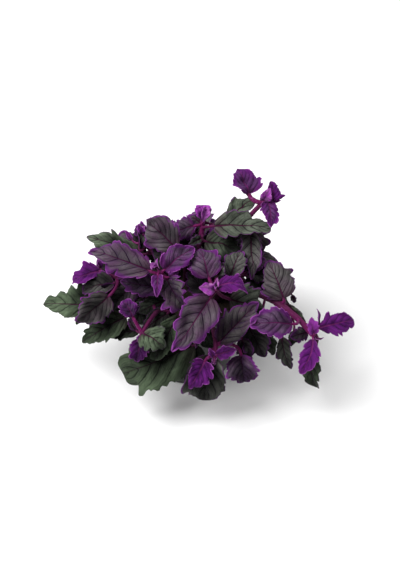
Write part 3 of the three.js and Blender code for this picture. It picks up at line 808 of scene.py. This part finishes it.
# The light among the leaves: each blade stands as a coarse screen, and rays from a place up to the sky
# count how much of it the screens hide. Stems, leaves and hairs carry the answer as an attribute.
# Painted shade: the colours of the stems, leaves and hairs are darkened by this attribute where the screens
# hide the sky.
SCREEN_COLUMNS = 4
SCREEN_ROWS = 6
SCREEN_SHARE = 0.94
SKY_RAYS = 26
LOWEST_RAY = 0.15
SKY_REACH = 90
RAY_START = 1.2
OPEN_ENOUGH = 0.85
STRAIGHT_UP = Vector((0, 0, 1))

screens = bmesh.new()
for blade in (blade for shoot in shoots.values() for blade in shoot["blades"]):
    screen = bmesh.ops.create_grid(screens, x_segments=SCREEN_COLUMNS, y_segments=SCREEN_ROWS, size=1)
    for vert in screen["verts"]:
        vert.co = blade.place(SCREEN_SHARE * vert.co.x, 0.5 + 0.5 * SCREEN_SHARE * vert.co.y)
canopy = BVHTree.FromBMesh(screens)
screens.free()


def sky_directions():
    """Directions spread evenly over the sky."""
    turn = math.pi * (3 - math.sqrt(5))
    heights = [LOWEST_RAY + (1 - LOWEST_RAY) * (k + 0.5) / SKY_RAYS for k in range(SKY_RAYS)]
    return [
        Vector((math.cos(k * turn), math.sin(k * turn), 0)) * math.sqrt(1 - z * z) + z * STRAIGHT_UP
        for k, z in enumerate(heights)
    ]


SKY = sky_directions()


def light_reaching(point, side):
    """The light at a point among the leaves: 1 in the open, and less where leaves hide the sky."""
    start = point + math.copysign(RAY_START, side.z) * side
    clear = sum(1 for ray in SKY if canopy.ray_cast(start, ray, SKY_REACH)[0] is None)
    return min(1, clear / (OPEN_ENOUGH * SKY_RAYS))


def blade_light(blade):
    """The light over one blade, drawn out between the points of its screen."""
    lit = []
    for row in range(SCREEN_ROWS + 1):
        t = 0.5 + 0.5 * SCREEN_SHARE * (2 * row / SCREEN_ROWS - 1)
        level = blade.turned_frame(t)[1]
        sides = [SCREEN_SHARE * (2 * column / SCREEN_COLUMNS - 1) for column in range(SCREEN_COLUMNS + 1)]
        lit.append([light_reaching(blade.place(u, t), level) for u in sides])

    def at(u, t):
        x, y = (u + 1) / 2 * SCREEN_COLUMNS, t * SCREEN_ROWS
        column, row = min(int(x), SCREEN_COLUMNS - 1), min(int(y), SCREEN_ROWS - 1)
        x, y = x - column, y - row
        near = lit[row][column] * (1 - x) + lit[row][column + 1] * x
        far = lit[row + 1][column] * (1 - x) + lit[row + 1][column + 1] * x
        return near * (1 - y) + far * y

    return at


# The stems: soft, hairy and faintly ribbed, magenta where they are young and duller near the soil.
# Each shoot's stem and stalks are one piece, and the stalks run on under the blades as ribs. They are
# tubes, each a grid rolled up round its curve, merged along its seam and closed at the ends.
STEM_FOOT_RADIUS = 3.0
STEM_TIP_RADIUS = 1.65
STEM_STEPS = 36
STEM_SIDES = 15
STEM_RIBS = 5
RIB_DEPTH = 0.06
JOINT_SWELLING = 0.22
JOINT_LENGTH = 0.02
OLD_BELOW = 0.55
YOUNG_ABOVE = 1.05
WOOLLY_ABOVE = 0.93
WOOL_GAIN = 6
STALK_SIDES = 9
STALK_STEPS = 10
STALK_FOOT = 1.25
STALK_YOUTH = 0.3
MOST_YOUTH = 1.3
RIB_REACH = 0.86
RIB_END_RADIUS = 0.16
RIB_TAPER = 0.6
RIB_SINK = 0.15
SEAM = 0.0005
STEM_MAGENTA = (0.115, 0.001, 0.062, 1)
STEM_DULL = (0.048, 0.004, 0.028, 1)
STEM_PALE = (0.34, 0.075, 0.280, 1)


def stem_radius(shoot, share):
    return shoot["girth"] * (STEM_FOOT_RADIUS + (STEM_TIP_RADIUS - STEM_FOOT_RADIUS) * share)


def add_tube(bm, centres, radii, youth, sides, ribs=0):
    steps = len(centres) - 1
    made = bmesh.ops.create_grid(bm, x_segments=sides, y_segments=steps, size=1)["verts"]
    layers = bm.verts.layers.float
    lights = [light_reaching(centre, STRAIGHT_UP) for centre in centres]
    frames = []
    square = (centres[1] - centres[0]).orthogonal()
    for step in range(steps + 1):
        along = (centres[min(step + 1, steps)] - centres[max(step - 1, 0)]).normalized()
        square = (square - square.dot(along) * along).normalized()
        frames.append((square, square.cross(along)))
    for vert in made:
        step = round((vert.co.y + 1) / 2 * steps)
        turn = math.pi * (vert.co.x + 1)
        square, aside = frames[step]
        vert[layers["light"]] = lights[step]
        vert[layers["young"]] = youth[step]
        radius = radii[step] * (1 + RIB_DEPTH * math.cos(ribs * turn) if ribs else 1)
        vert.co = centres[step] + radius * (math.cos(turn) * square + math.sin(turn) * aside)
    faces = {face for vert in made for face in vert.link_faces}
    bmesh.ops.remove_doubles(bm, verts=made, dist=SEAM)
    rims = {edge for face in faces if face.is_valid for edge in face.edges if edge.is_boundary}
    bmesh.ops.holes_fill(bm, edges=list(rims), sides=0)
    for face in faces:
        face.smooth = True


def add_stem(bm, shoot):
    """The stem, swollen where each leaf leaves it, and woolly close to its tip."""
    shares = [step / STEM_STEPS for step in range(STEM_STEPS + 1)]
    radii = []
    youth = []
    for share in shares:
        off_joints = [(share - leaf["at"]) / JOINT_LENGTH for leaf in shoot["leaves"]]
        swollen = max(math.exp(-(off**2)) for off in off_joints)
        radii.append(stem_radius(shoot, share) * (1 + JOINT_SWELLING * swollen))
        young = max(0, (share - OLD_BELOW) / (YOUNG_ABOVE - OLD_BELOW))
        youth.append(young + WOOL_GAIN * max(0, share - WOOLLY_ABOVE))
    centres = [curve_point(shoot["stem"], share) for share in shares]
    add_tube(bm, centres, radii, youth, STEM_SIDES, STEM_RIBS)


def add_stalk(bm, blade):
    """The stalk of one leaf, from inside its stem to the blade, and the rib under the blade."""
    thick = blade.stalk_radius
    shares = [step / STALK_STEPS for step in range(STALK_STEPS)]
    centres = [curve_point(blade.stalk, share) for share in shares]
    radii = [thick * (STALK_FOOT + (1 - STALK_FOOT) * share) for share in shares]
    for step in range(1, 2 * STALK_STEPS + 1):
        share = step / (2 * STALK_STEPS)
        radius = thick + (RIB_END_RADIUS - thick) * share**RIB_TAPER
        level = blade.turned_frame(RIB_REACH * share)[1]
        centres.append(blade.place(0, RIB_REACH * share) - (radius + RIB_SINK) * level)
        radii.append(radius)
    youth = [min(MOST_YOUTH, STALK_YOUTH + blade.bloom)] * len(centres)
    add_tube(bm, centres, radii, youth, STALK_SIDES)


def own(tree, name):
    """The value that each point of the piece carries under this name."""
    return node(tree, "ShaderNodeAttribute", attribute_name=name).outputs["Fac"]


def calc(tree, operation, *values, **settings):
    return node(tree, "ShaderNodeMath", dict(enumerate(values)), operation=operation, **settings).outputs[0]


def dimmed(tree, colour, value):
    return node(tree, "ShaderNodeHueSaturation", {"Color": colour, "Value": value}).outputs[0]


hairy_stem, tree, shader = new_material(
    "hairy_stem",
    roughness=0.6,
    specular_ior_level=0.15,
    sheen_weight=0.03,
    sheen_tint=(0.9, 0.4, 0.75, 1),
)
young = own(tree, "young")
strands = grain(tree, 420, 5, 0.65)
downy = stretch(tree, young, 0.9, 1.3, 0.12, 1.6)
pale = calc(tree, "MULTIPLY", stretch(tree, strands, 0.5, 0.78), downy, use_clamp=True)
skin = mixed(tree, pale, mixed(tree, young, STEM_DULL, STEM_MAGENTA), STEM_PALE)
# painted shade: the stem colour is darkened where leaves hide the sky
lit = dimmed(tree, skin, stretch(tree, own(tree, "light"), 0, 1, 0.2, 1))
feed(shader, base_color=lit, normal=relief(tree, strands, 0.5, 0.0006))

for name, shoot in shoots.items():
    bm = bmesh.new()
    for layer in ("light", "young"):
        bm.verts.layers.float.new(layer)
    add_stem(bm, shoot)
    for blade in shoot["blades"]:
        add_stalk(bm, blade)
    bmesh.ops.recalc_face_normals(bm, faces=bm.faces)
    stems = finish_mesh(bm, f"stems_{name}", [hairy_stem])
    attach(stems, "root")


# The leaves: violet hairs cover the young ones and edge the old ones, whose grey-green tissue shows
# between dark veins. Each blade is a grid bent to the leaf's shape, and gets a thin wall. Its points
# carry what the pattern needs, such as their distance in millimetres from the margin and the midrib.
BLADE_FACES = ((14, 20, 50), (0, 12, 30))
BLADE_THICKNESS = 0.5
VIOLET_FROM = 0.45
GREY_GREEN = (0.100, 0.110, 0.092, 1)
DUSK = (0.078, 0.044, 0.072, 1)
DARK_VEIN = (0.012, 0.003, 0.014, 1)
PLAIN_GREEN = (0.080, 0.112, 0.066, 1)
GREEN_VEIN = (0.020, 0.030, 0.018, 1)
VIOLET = (0.078, 0.007, 0.108, 1)
EDGE_VIOLET = (0.110, 0.010, 0.145, 1)
PALE_RIM = (0.36, 0.095, 0.39, 1)
MIDRIB_MAGENTA = (0.050, 0.003, 0.028, 1)
YOUNG_MIDRIB = (0.160, 0.018, 0.130, 1)
BUD_VIOLET = (0.32, 0.045, 0.37, 1)
PALE_WOOL = (0.48, 0.24, 0.42, 1)
UNDERSIDE = (0.045, 0.011, 0.047, 1)
UNDER_VEIN = (0.10, 0.028, 0.09, 1)
VELVET = {"roughness": 0.75, "specular_ior_level": 0.08, "sheen_roughness": 0.4}

# The leaves' pattern: what it takes, the waves of its noises across and along a blade, and its fades,
# each with where it starts and ends and, where that isn't 0 and 1, what it runs from and to.
PATTERN_TAKES = {"Vein Width": 0.09, "Midrib Width": 0.9, "Streak Depth": 0.36}
SEED_STEP = 7.31
WANDER_WAVES = (2.5, 6.0)
WANDER = 0.24
VEIN_START = 0.38
VEIN_TAPER = (0.05, 0.95, 1.35, 0.5)
VEIN_CORE = 0.5
VEIN_SOFTNESS = 1.4
VEIN_ENDS = (0.97, 0.62)
BRANCHES = 2
BRANCH_SLANT = 3.6
BRANCH_LINE = (0.04, 0.26)
BRANCHED = (0.4, 0.62)
BRANCH_ENDS = (0.9, 0.5, 0.0, 0.3)
MIDRIB_TAPER = (0.0, 0.95, 1.3, 0.3)
STREAK_WAVES = (8.0, 2.4)
STREAKED = (0.46, 0.66)
# Painted shade and highlight of the puffed panels: lighter in each panel's middle, darker towards the
# veins.
PAINTED_PUFF_SHADE_POWER = 0.6
PAINTED_PUFF_SHADE = (0.35, 0.74)
# Painted shade and light of the leaf's larger folds, laid over each blade as large random blotches.
PAINTED_FOLD_SHADE_WAVES = (1.5, 3.4)
PAINTED_FOLD_SHADE_LANE = 80.0
PAINTED_FOLD_SHADE = (0.34, 0.66, 0.86, 1.32)
PATCH_WAVES = (1.6, 3.2)
PATCH_LANE = 40.0
PATCHY = (0.38, 0.62)
RAGGED_WAVES = (8.0, 30.0)
RAGGED_BY = 0.7
RAGGED_RIM = (0.3, 0.6, 0.55, 1.0)
RIM = (0.3, 0.65)
BASE_ENDS = (0.02, 0.25)
PLAIN_BAND = 1
HAIRY_BAND = 6
BASE_BAND = 9
PATCH_BAND = 12
SHADE_POWER = 3
SHADE_GAIN = 1.35
SHADE_FLOOR = 0.02
STREAK_RELIEF = 0.6
VEIN_RELIEF = -0.8

# Over what range of bloom a leaf's colours change, and how much the veins and hairs cover there.
EDGED = (0.02, 0.22)
DUSKY = (0.12, 0.5)
RIMMED = (0.05, 0.75)
TENDER = (1.0, 1.2)
WOOLLY = (1.2, 1.5)
MARGIN_COVER = 0.9
VEINS_SHOWING = (0, 1, 0.88, 0.5)
BASE_COVER = 0.4
MIDRIB_COVER = 0.9
RIM_COVER = 0.85
BACK_VEINS = 0.7
NAP_GRAINS = 1300
NAP = 0.5
BUMPS = (0.9, 0.0017)


def add_blade(bm, blade):
    light = blade_light(blade)
    columns, rows = next(faces for width, *faces in BLADE_FACES if blade.wide >= width)
    made = bmesh.ops.create_grid(bm, x_segments=columns, y_segments=rows, size=1, calc_uvs=True)["verts"]
    layers = bm.verts.layers.float
    for vert in made:
        u, t = vert.co.x, (vert.co.y + 1) / 2
        half = blade.half_width(u, t)
        vert[layers["edge"]] = (1 - abs(u)) * half
        vert[layers["rib"]] = abs(u) * half
        vert[layers["vein"]] = blade.beat(u, t)
        vert[layers["bloom"]] = blade.bloom
        vert[layers["leaf"]] = blade.seed
        vert[layers["light"]] = light(u, t)
        vert.co = blade.place(u, t)
    for face in {face for vert in made for face in vert.link_faces}:
        face.material_index = 0 if blade.bloom > VIOLET_FROM else 1
        face.smooth = True


def leaf_pattern():
    """A node group that draws a leaf's veins, midrib, streaks, painted shade and relief from its own map.
    """
    tree = bpy.data.node_groups.new("leaf_pattern", "ShaderNodeTree")
    for name, start in PATTERN_TAKES.items():
        tree.interface.new_socket(name, in_out="INPUT", socket_type="NodeSocketFloat").default_value = start
    given = node(tree, "NodeGroupInput").outputs
    seed = calc(tree, "MULTIPLY", own(tree, "leaf"), SEED_STEP)

    def add(value, more):
        return calc(tree, "ADD", value, more)

    def scaled(value, factor, more=0.0):
        return calc(tree, "MULTIPLY_ADD", value, factor, more)

    def inverse(value):
        return calc(tree, "SUBTRACT", 1.0, value)

    def fade(value, start, end, low=0.0, high=1.0):
        ends = {"Value": value, "From Min": start, "From Max": end, "To Min": low, "To Max": high}
        return node(tree, "ShaderNodeMapRange", ends, interpolation_type="SMOOTHSTEP").outputs["Result"]

    def drift(x, y, waves, detail, lane=0.0):
        """Noise over the blade, which is another on each leaf and in each lane."""
        spot = {"X": scaled(x, waves[0]), "Y": scaled(y, waves[1]), "Z": add(seed, lane)}
        point = node(tree, "ShaderNodeCombineXYZ", spot).outputs["Vector"]
        sizes = {"Vector": point, "Scale": 1, "Detail": detail}
        return node(tree, "ShaderNodeTexNoise", sizes).outputs["Fac"]

    def off_line(value):
        """How far a value is from a line at each half number: 0 on it, 1 midway between two."""
        return calc(tree, "ABSOLUTE", scaled(calc(tree, "FRACT", value), 2.0, -1.0))

    own_map = node(tree, "ShaderNodeUVMap", uv_map="blade").outputs["UV"]
    split = node(tree, "ShaderNodeSeparateXYZ", {"Vector": own_map}).outputs
    side = scaled(split["X"], 2.0, -1.0)
    out = calc(tree, "ABSOLUTE", side)
    t = split["Y"]
    bloom = own(tree, "bloom")

    wander = drift(side, t, WANDER_WAVES, 2.0)
    beat = scaled(wander, WANDER, own(tree, "vein"))
    off_vein = off_line(add(beat, VEIN_START))
    width = scaled(given["Vein Width"], fade(out, *VEIN_TAPER))
    drawn = inverse(fade(off_vein, scaled(width, VEIN_CORE), scaled(width, VEIN_SOFTNESS)))
    vein = scaled(drawn, fade(out, *VEIN_ENDS))
    off_branch = off_line(scaled(beat, BRANCHES, scaled(out, BRANCH_SLANT)))
    branch = scaled(inverse(fade(off_branch, *BRANCH_LINE)), fade(wander, *BRANCHED))
    lines = calc(tree, "MAXIMUM", vein, scaled(branch, fade(out, *BRANCH_ENDS)))
    thin = scaled(given["Midrib Width"], fade(t, *MIDRIB_TAPER))
    midrib = inverse(fade(own(tree, "rib"), scaled(thin, 0.5), thin))

    streaks = drift(beat, out, STREAK_WAVES, 3.0)
    lined = inverse(scaled(given["Streak Depth"], fade(streaks, *STREAKED)))
    # painted shade and highlight: each panel between side veins is painted lighter in its middle and darker
    # towards the veins, as light falls on the puffs
    puffed = scaled(calc(tree, "POWER", off_vein, PAINTED_PUFF_SHADE_POWER), *PAINTED_PUFF_SHADE)
    # painted shade and light: large blotches lighten and darken the blade, standing for the shading of its
    # folds
    painted_fold_shade = fade(drift(side, t, PAINTED_FOLD_SHADE_WAVES, 3.0, PAINTED_FOLD_SHADE_LANE), *PAINTED_FOLD_SHADE)

    ragged = drift(side, t, RAGGED_WAVES, 3.0)
    near_edge = add(own(tree, "edge"), scaled(ragged, RAGGED_BY, -0.5 * RAGGED_BY))
    rim = inverse(fade(near_edge, *RIM))
    patch = fade(drift(side, t, PATCH_WAVES, 4.0, PATCH_LANE), *PATCHY)
    near_base = inverse(fade(t, *BASE_ENDS))
    spread = scaled(patch, PATCH_BAND, scaled(near_base, BASE_BAND, HAIRY_BAND))
    band = scaled(scaled(bloom, bloom), spread, PLAIN_BAND)
    # painted shade: the leaf colour is darkened where other leaves hide the sky
    open_air = scaled(calc(tree, "POWER", own(tree, "light"), SHADE_POWER), SHADE_GAIN, SHADE_FLOOR)
    hollow = scaled(calc(tree, "MAXIMUM", lines, midrib), VEIN_RELIEF)

    results = {
        "Vein": lines,
        "Midrib": midrib,
        # The Streak value carries the real streaks together with the painted puff shade and painted fold
        # shade.
        "Streak": scaled(scaled(lined, puffed), painted_fold_shade),
        "Patch": patch,
        "Rim": scaled(rim, fade(ragged, *RAGGED_RIM)),
        "Margin": inverse(fade(near_edge, RIM[0], band)),
        "Base": near_base,
        "Bloom": bloom,
        "Light": calc(tree, "MINIMUM", open_air, 1),
        "Relief": add(scaled(streaks, STREAK_RELIEF, hollow), 1.0),
    }
    for name in results:
        tree.interface.new_socket(name, in_out="OUTPUT", socket_type="NodeSocketFloat")
    node(tree, "NodeGroupOutput", results)
    return tree


def times(tree, *values):
    product = values[0]
    for value in values[1:]:
        product = calc(tree, "MULTIPLY", product, value)
    return product


def leaf_skin(name, cover_range, **sockets):
    """The upper skin: tissue and veins, then violet hairs by how young the leaf is and at its margin, all
    darkened by painted shade.
    """
    material, tree, shader = new_material(name, **VELVET, **sockets)
    pattern = node(tree, "ShaderNodeGroup", node_tree=LEAF_PATTERN).outputs
    bloom = pattern["Bloom"]
    edging = stretch(tree, bloom, *EDGED)
    cover = stretch(tree, bloom, *cover_range)
    dusky = times(tree, stretch(tree, pattern["Patch"], 0, 1, 0.5, 1), stretch(tree, bloom, *DUSKY))
    tissue = mixed(tree, edging, PLAIN_GREEN, mixed(tree, dusky, GREY_GREEN, DUSK))
    # The Streak value darkens the tissue with its streaks and with the painted shade of the puffs and
    # folds.
    tissue = dimmed(tree, tissue, pattern["Streak"])
    hairy = mixed(tree, cover, tissue, dimmed(tree, VIOLET, pattern["Streak"]))
    edged = mixed(tree, times(tree, pattern["Margin"], edging, MARGIN_COVER), hairy, EDGE_VIOLET)
    showing = times(tree, pattern["Vein"], stretch(tree, cover, *VEINS_SHOWING))
    veined = mixed(tree, showing, edged, mixed(tree, edging, GREEN_VEIN, DARK_VEIN))
    based = mixed(tree, times(tree, pattern["Base"], BASE_COVER), veined, MIDRIB_MAGENTA)
    rib_colour = mixed(tree, cover, MIDRIB_MAGENTA, YOUNG_MIDRIB)
    ribbed = mixed(tree, times(tree, pattern["Midrib"], MIDRIB_COVER), based, rib_colour)
    rimming = times(tree, pattern["Rim"], stretch(tree, bloom, *RIMMED), RIM_COVER)
    rimmed = mixed(tree, rimming, ribbed, PALE_RIM)
    tender = mixed(tree, stretch(tree, bloom, *TENDER), rimmed, BUD_VIOLET)
    woolly = times(tree, stretch(tree, bloom, *WOOLLY), pattern["Patch"])
    downy = mixed(tree, woolly, tender, PALE_WOOL)
    nap = calc(tree, "MULTIPLY_ADD", grain(tree, NAP_GRAINS, 3), NAP, pattern["Relief"])
    feed(shader, base_color=dimmed(tree, downy, pattern["Light"]), normal=relief(tree, nap, *BUMPS))
    return material


LEAF_PATTERN = leaf_pattern()
violet_leaf = leaf_skin("violet_leaf", (0.5, 0.95), sheen_weight=0.09, sheen_tint=(0.6, 0.25, 0.9, 1))
green_leaf = leaf_skin("green_leaf", (0.35, 1.3), sheen_weight=0.03, sheen_tint=(0.7, 0.6, 0.8, 1))
underside, tree, shader = new_material(
    "leaf_underside", **VELVET, sheen_weight=0.1, sheen_tint=(0.75, 0.4, 0.9, 1)
)
pattern = node(tree, "ShaderNodeGroup", {"Vein Width": 0.2}, node_tree=LEAF_PATTERN).outputs
lines = calc(tree, "MAXIMUM", pattern["Vein"], pattern["Midrib"])
backed = mixed(tree, times(tree, lines, BACK_VEINS), UNDERSIDE, UNDER_VEIN)
# painted shade: the underside colour is darkened where other leaves hide the sky
feed(shader, base_color=dimmed(tree, backed, pattern["Light"]), normal=relief(tree, lines, 0.6, 0.0008))

for name, shoot in shoots.items():
    bm = bmesh.new()
    bm.loops.layers.uv.new("blade")
    for layer in ("edge", "rib", "vein", "bloom", "leaf", "light"):
        bm.verts.layers.float.new(layer)
    for blade in shoot["blades"]:
        add_blade(bm, blade)
    leaves = finish_mesh(bm, f"leaves_{name}", [violet_leaf, green_leaf, underside])
    wall = leaves.modifiers.new("wall", "SOLIDIFY")
    wall.thickness = BLADE_THICKNESS * MM
    wall.offset = -1
    wall.material_offset = 2
    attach(leaves, "root")
    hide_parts(f"shoot_{name}")


# The hairs: short, soft and violet, standing out along the margins and over the blades, the stalks and the
# stems, and thick as wool on the youngest tips. Each is a slender three-sided cone on its leaf.
HAIR_LENGTH = (0.7, 1.8)
HAIR_RADIUS = 0.07
HAIR_LEAN = 0.5
HAIR_MIDDLE = 0.42
LEAST_FURRY = 0.12
HAIR_TIP_GAP = 0.0005
MARGIN_HAIRS = (0.03, 0.98)
MARGIN_SPACING = 1.1
MARGIN_SINK = 0.25
MARGIN_UPTURN = 0.4
FACE_HAIRS = 0.05
FACE_HAIRS_ALONG = (0.03, 0.95)
FACE_HAIRS_ACROSS = (-0.95, 0.95)
STALK_SPACING = 0.5
STEM_SPACING = 0.45
STEM_HAIRS_FROM = 0.12
STEM_HAIRS_ROOTED = 0.95
HAIR_SEED = 11
HAIR_VIOLET = (0.20, 0.022, 0.23, 1)
HAIR_PALE = (0.38, 0.11, 0.38, 1)


def add_hair(bm, root, out, draw):
    """One hair on its root, leaning a little away from straight out."""
    lean = HAIR_LEAN * Vector((draw.uniform(-1, 1), draw.uniform(-1, 1), draw.uniform(-1, 1)))
    direction = (out + lean).normalized()
    length = draw.uniform(*HAIR_LENGTH)
    turn = direction.to_track_quat("Z", "Y").to_matrix().to_4x4()
    seat = Matrix.Translation(root + HAIR_MIDDLE * length * direction) @ turn
    bmesh.ops.create_cone(bm, cap_ends=True, segments=3, radius1=HAIR_RADIUS, depth=length, matrix=seat)


def add_ring_hair(bm, curve, share, radius, draw):
    """One hair on a stem or stalk, anywhere round it."""
    along = curve_direction(curve, share)
    out = Matrix.Rotation(draw.uniform(0, 2 * math.pi), 3, along) @ along.orthogonal().normalized()
    add_hair(bm, curve_point(curve, share) + radius * out, out, draw)


def add_blade_hairs(bm, blade, draw):
    furry = LEAST_FURRY + (1 - LEAST_FURRY) * blade.bloom
    for _ in range(int(furry * 2 * blade.length / MARGIN_SPACING)):
        side, t = draw.choice((-1, 1)), draw.uniform(*MARGIN_HAIRS)
        across, level = blade.turned_frame(t)
        out = side * across + MARGIN_UPTURN * level
        add_hair(bm, blade.place(side, t) - MARGIN_SINK * level, out, draw)
    for _ in range(int(FACE_HAIRS * furry * blade.length * blade.wide)):
        u, t = draw.uniform(*FACE_HAIRS_ACROSS), draw.uniform(*FACE_HAIRS_ALONG)
        add_hair(bm, blade.place(u, t), blade.turned_frame(t)[1], draw)
    for _ in range(int((blade.stalk[0] - blade.stalk[2]).length / STALK_SPACING)):
        add_ring_hair(bm, blade.stalk, draw.random(), blade.stalk_radius, draw)


def add_stem_hairs(bm, shoot, draw):
    stem = shoot["stem"]
    for _ in range(int((stem[3] - stem[0]).length / STEM_SPACING)):
        share = draw.uniform(STEM_HAIRS_FROM, 1)
        add_ring_hair(bm, stem, share, STEM_HAIRS_ROOTED * stem_radius(shoot, share), draw)


def pour(bm, whole, light):
    """Merges each hair's tip to a point, and pours a small batch of hairs into the whole."""
    bmesh.ops.remove_doubles(bm, verts=bm.verts, dist=HAIR_TIP_GAP)
    shaded = bm.verts.layers.float.new("light")
    for vert in bm.verts:
        vert[shaded] = light
    batch = bpy.data.meshes.new("batch")
    bm.to_mesh(batch)
    bm.free()
    whole.from_mesh(batch)
    bpy.data.meshes.remove(batch)


violet_hair, tree, shader = new_material("violet_hair", roughness=0.4)
shade = mixed(tree, stretch(tree, grain(tree, 60, 2), 0.35, 0.7), HAIR_VIOLET, HAIR_PALE)
light = own(tree, "light")
# painted shade: each hair's colour is darkened by the light reaching its leaf or stem
feed(shader, base_color=dimmed(tree, shade, times(tree, light, light)))

for name, shoot in shoots.items():
    whole = bmesh.new()
    whole.verts.layers.float.new("light")
    draw = random.Random(f"{HAIR_SEED} {name}")
    for blade in shoot["blades"]:
        bm = bmesh.new()
        add_blade_hairs(bm, blade, draw)
        pour(bm, whole, light_reaching(blade.place(0, 0.5), blade.turned_frame(0.5)[1]))
    bm = bmesh.new()
    add_stem_hairs(bm, shoot, draw)
    pour(bm, whole, light_reaching(curve_point(shoot["stem"], 0.7), STRAIGHT_UP))
    hairs = finish_mesh(whole, f"hairs_{name}", [violet_hair])
    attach(hairs, "root")
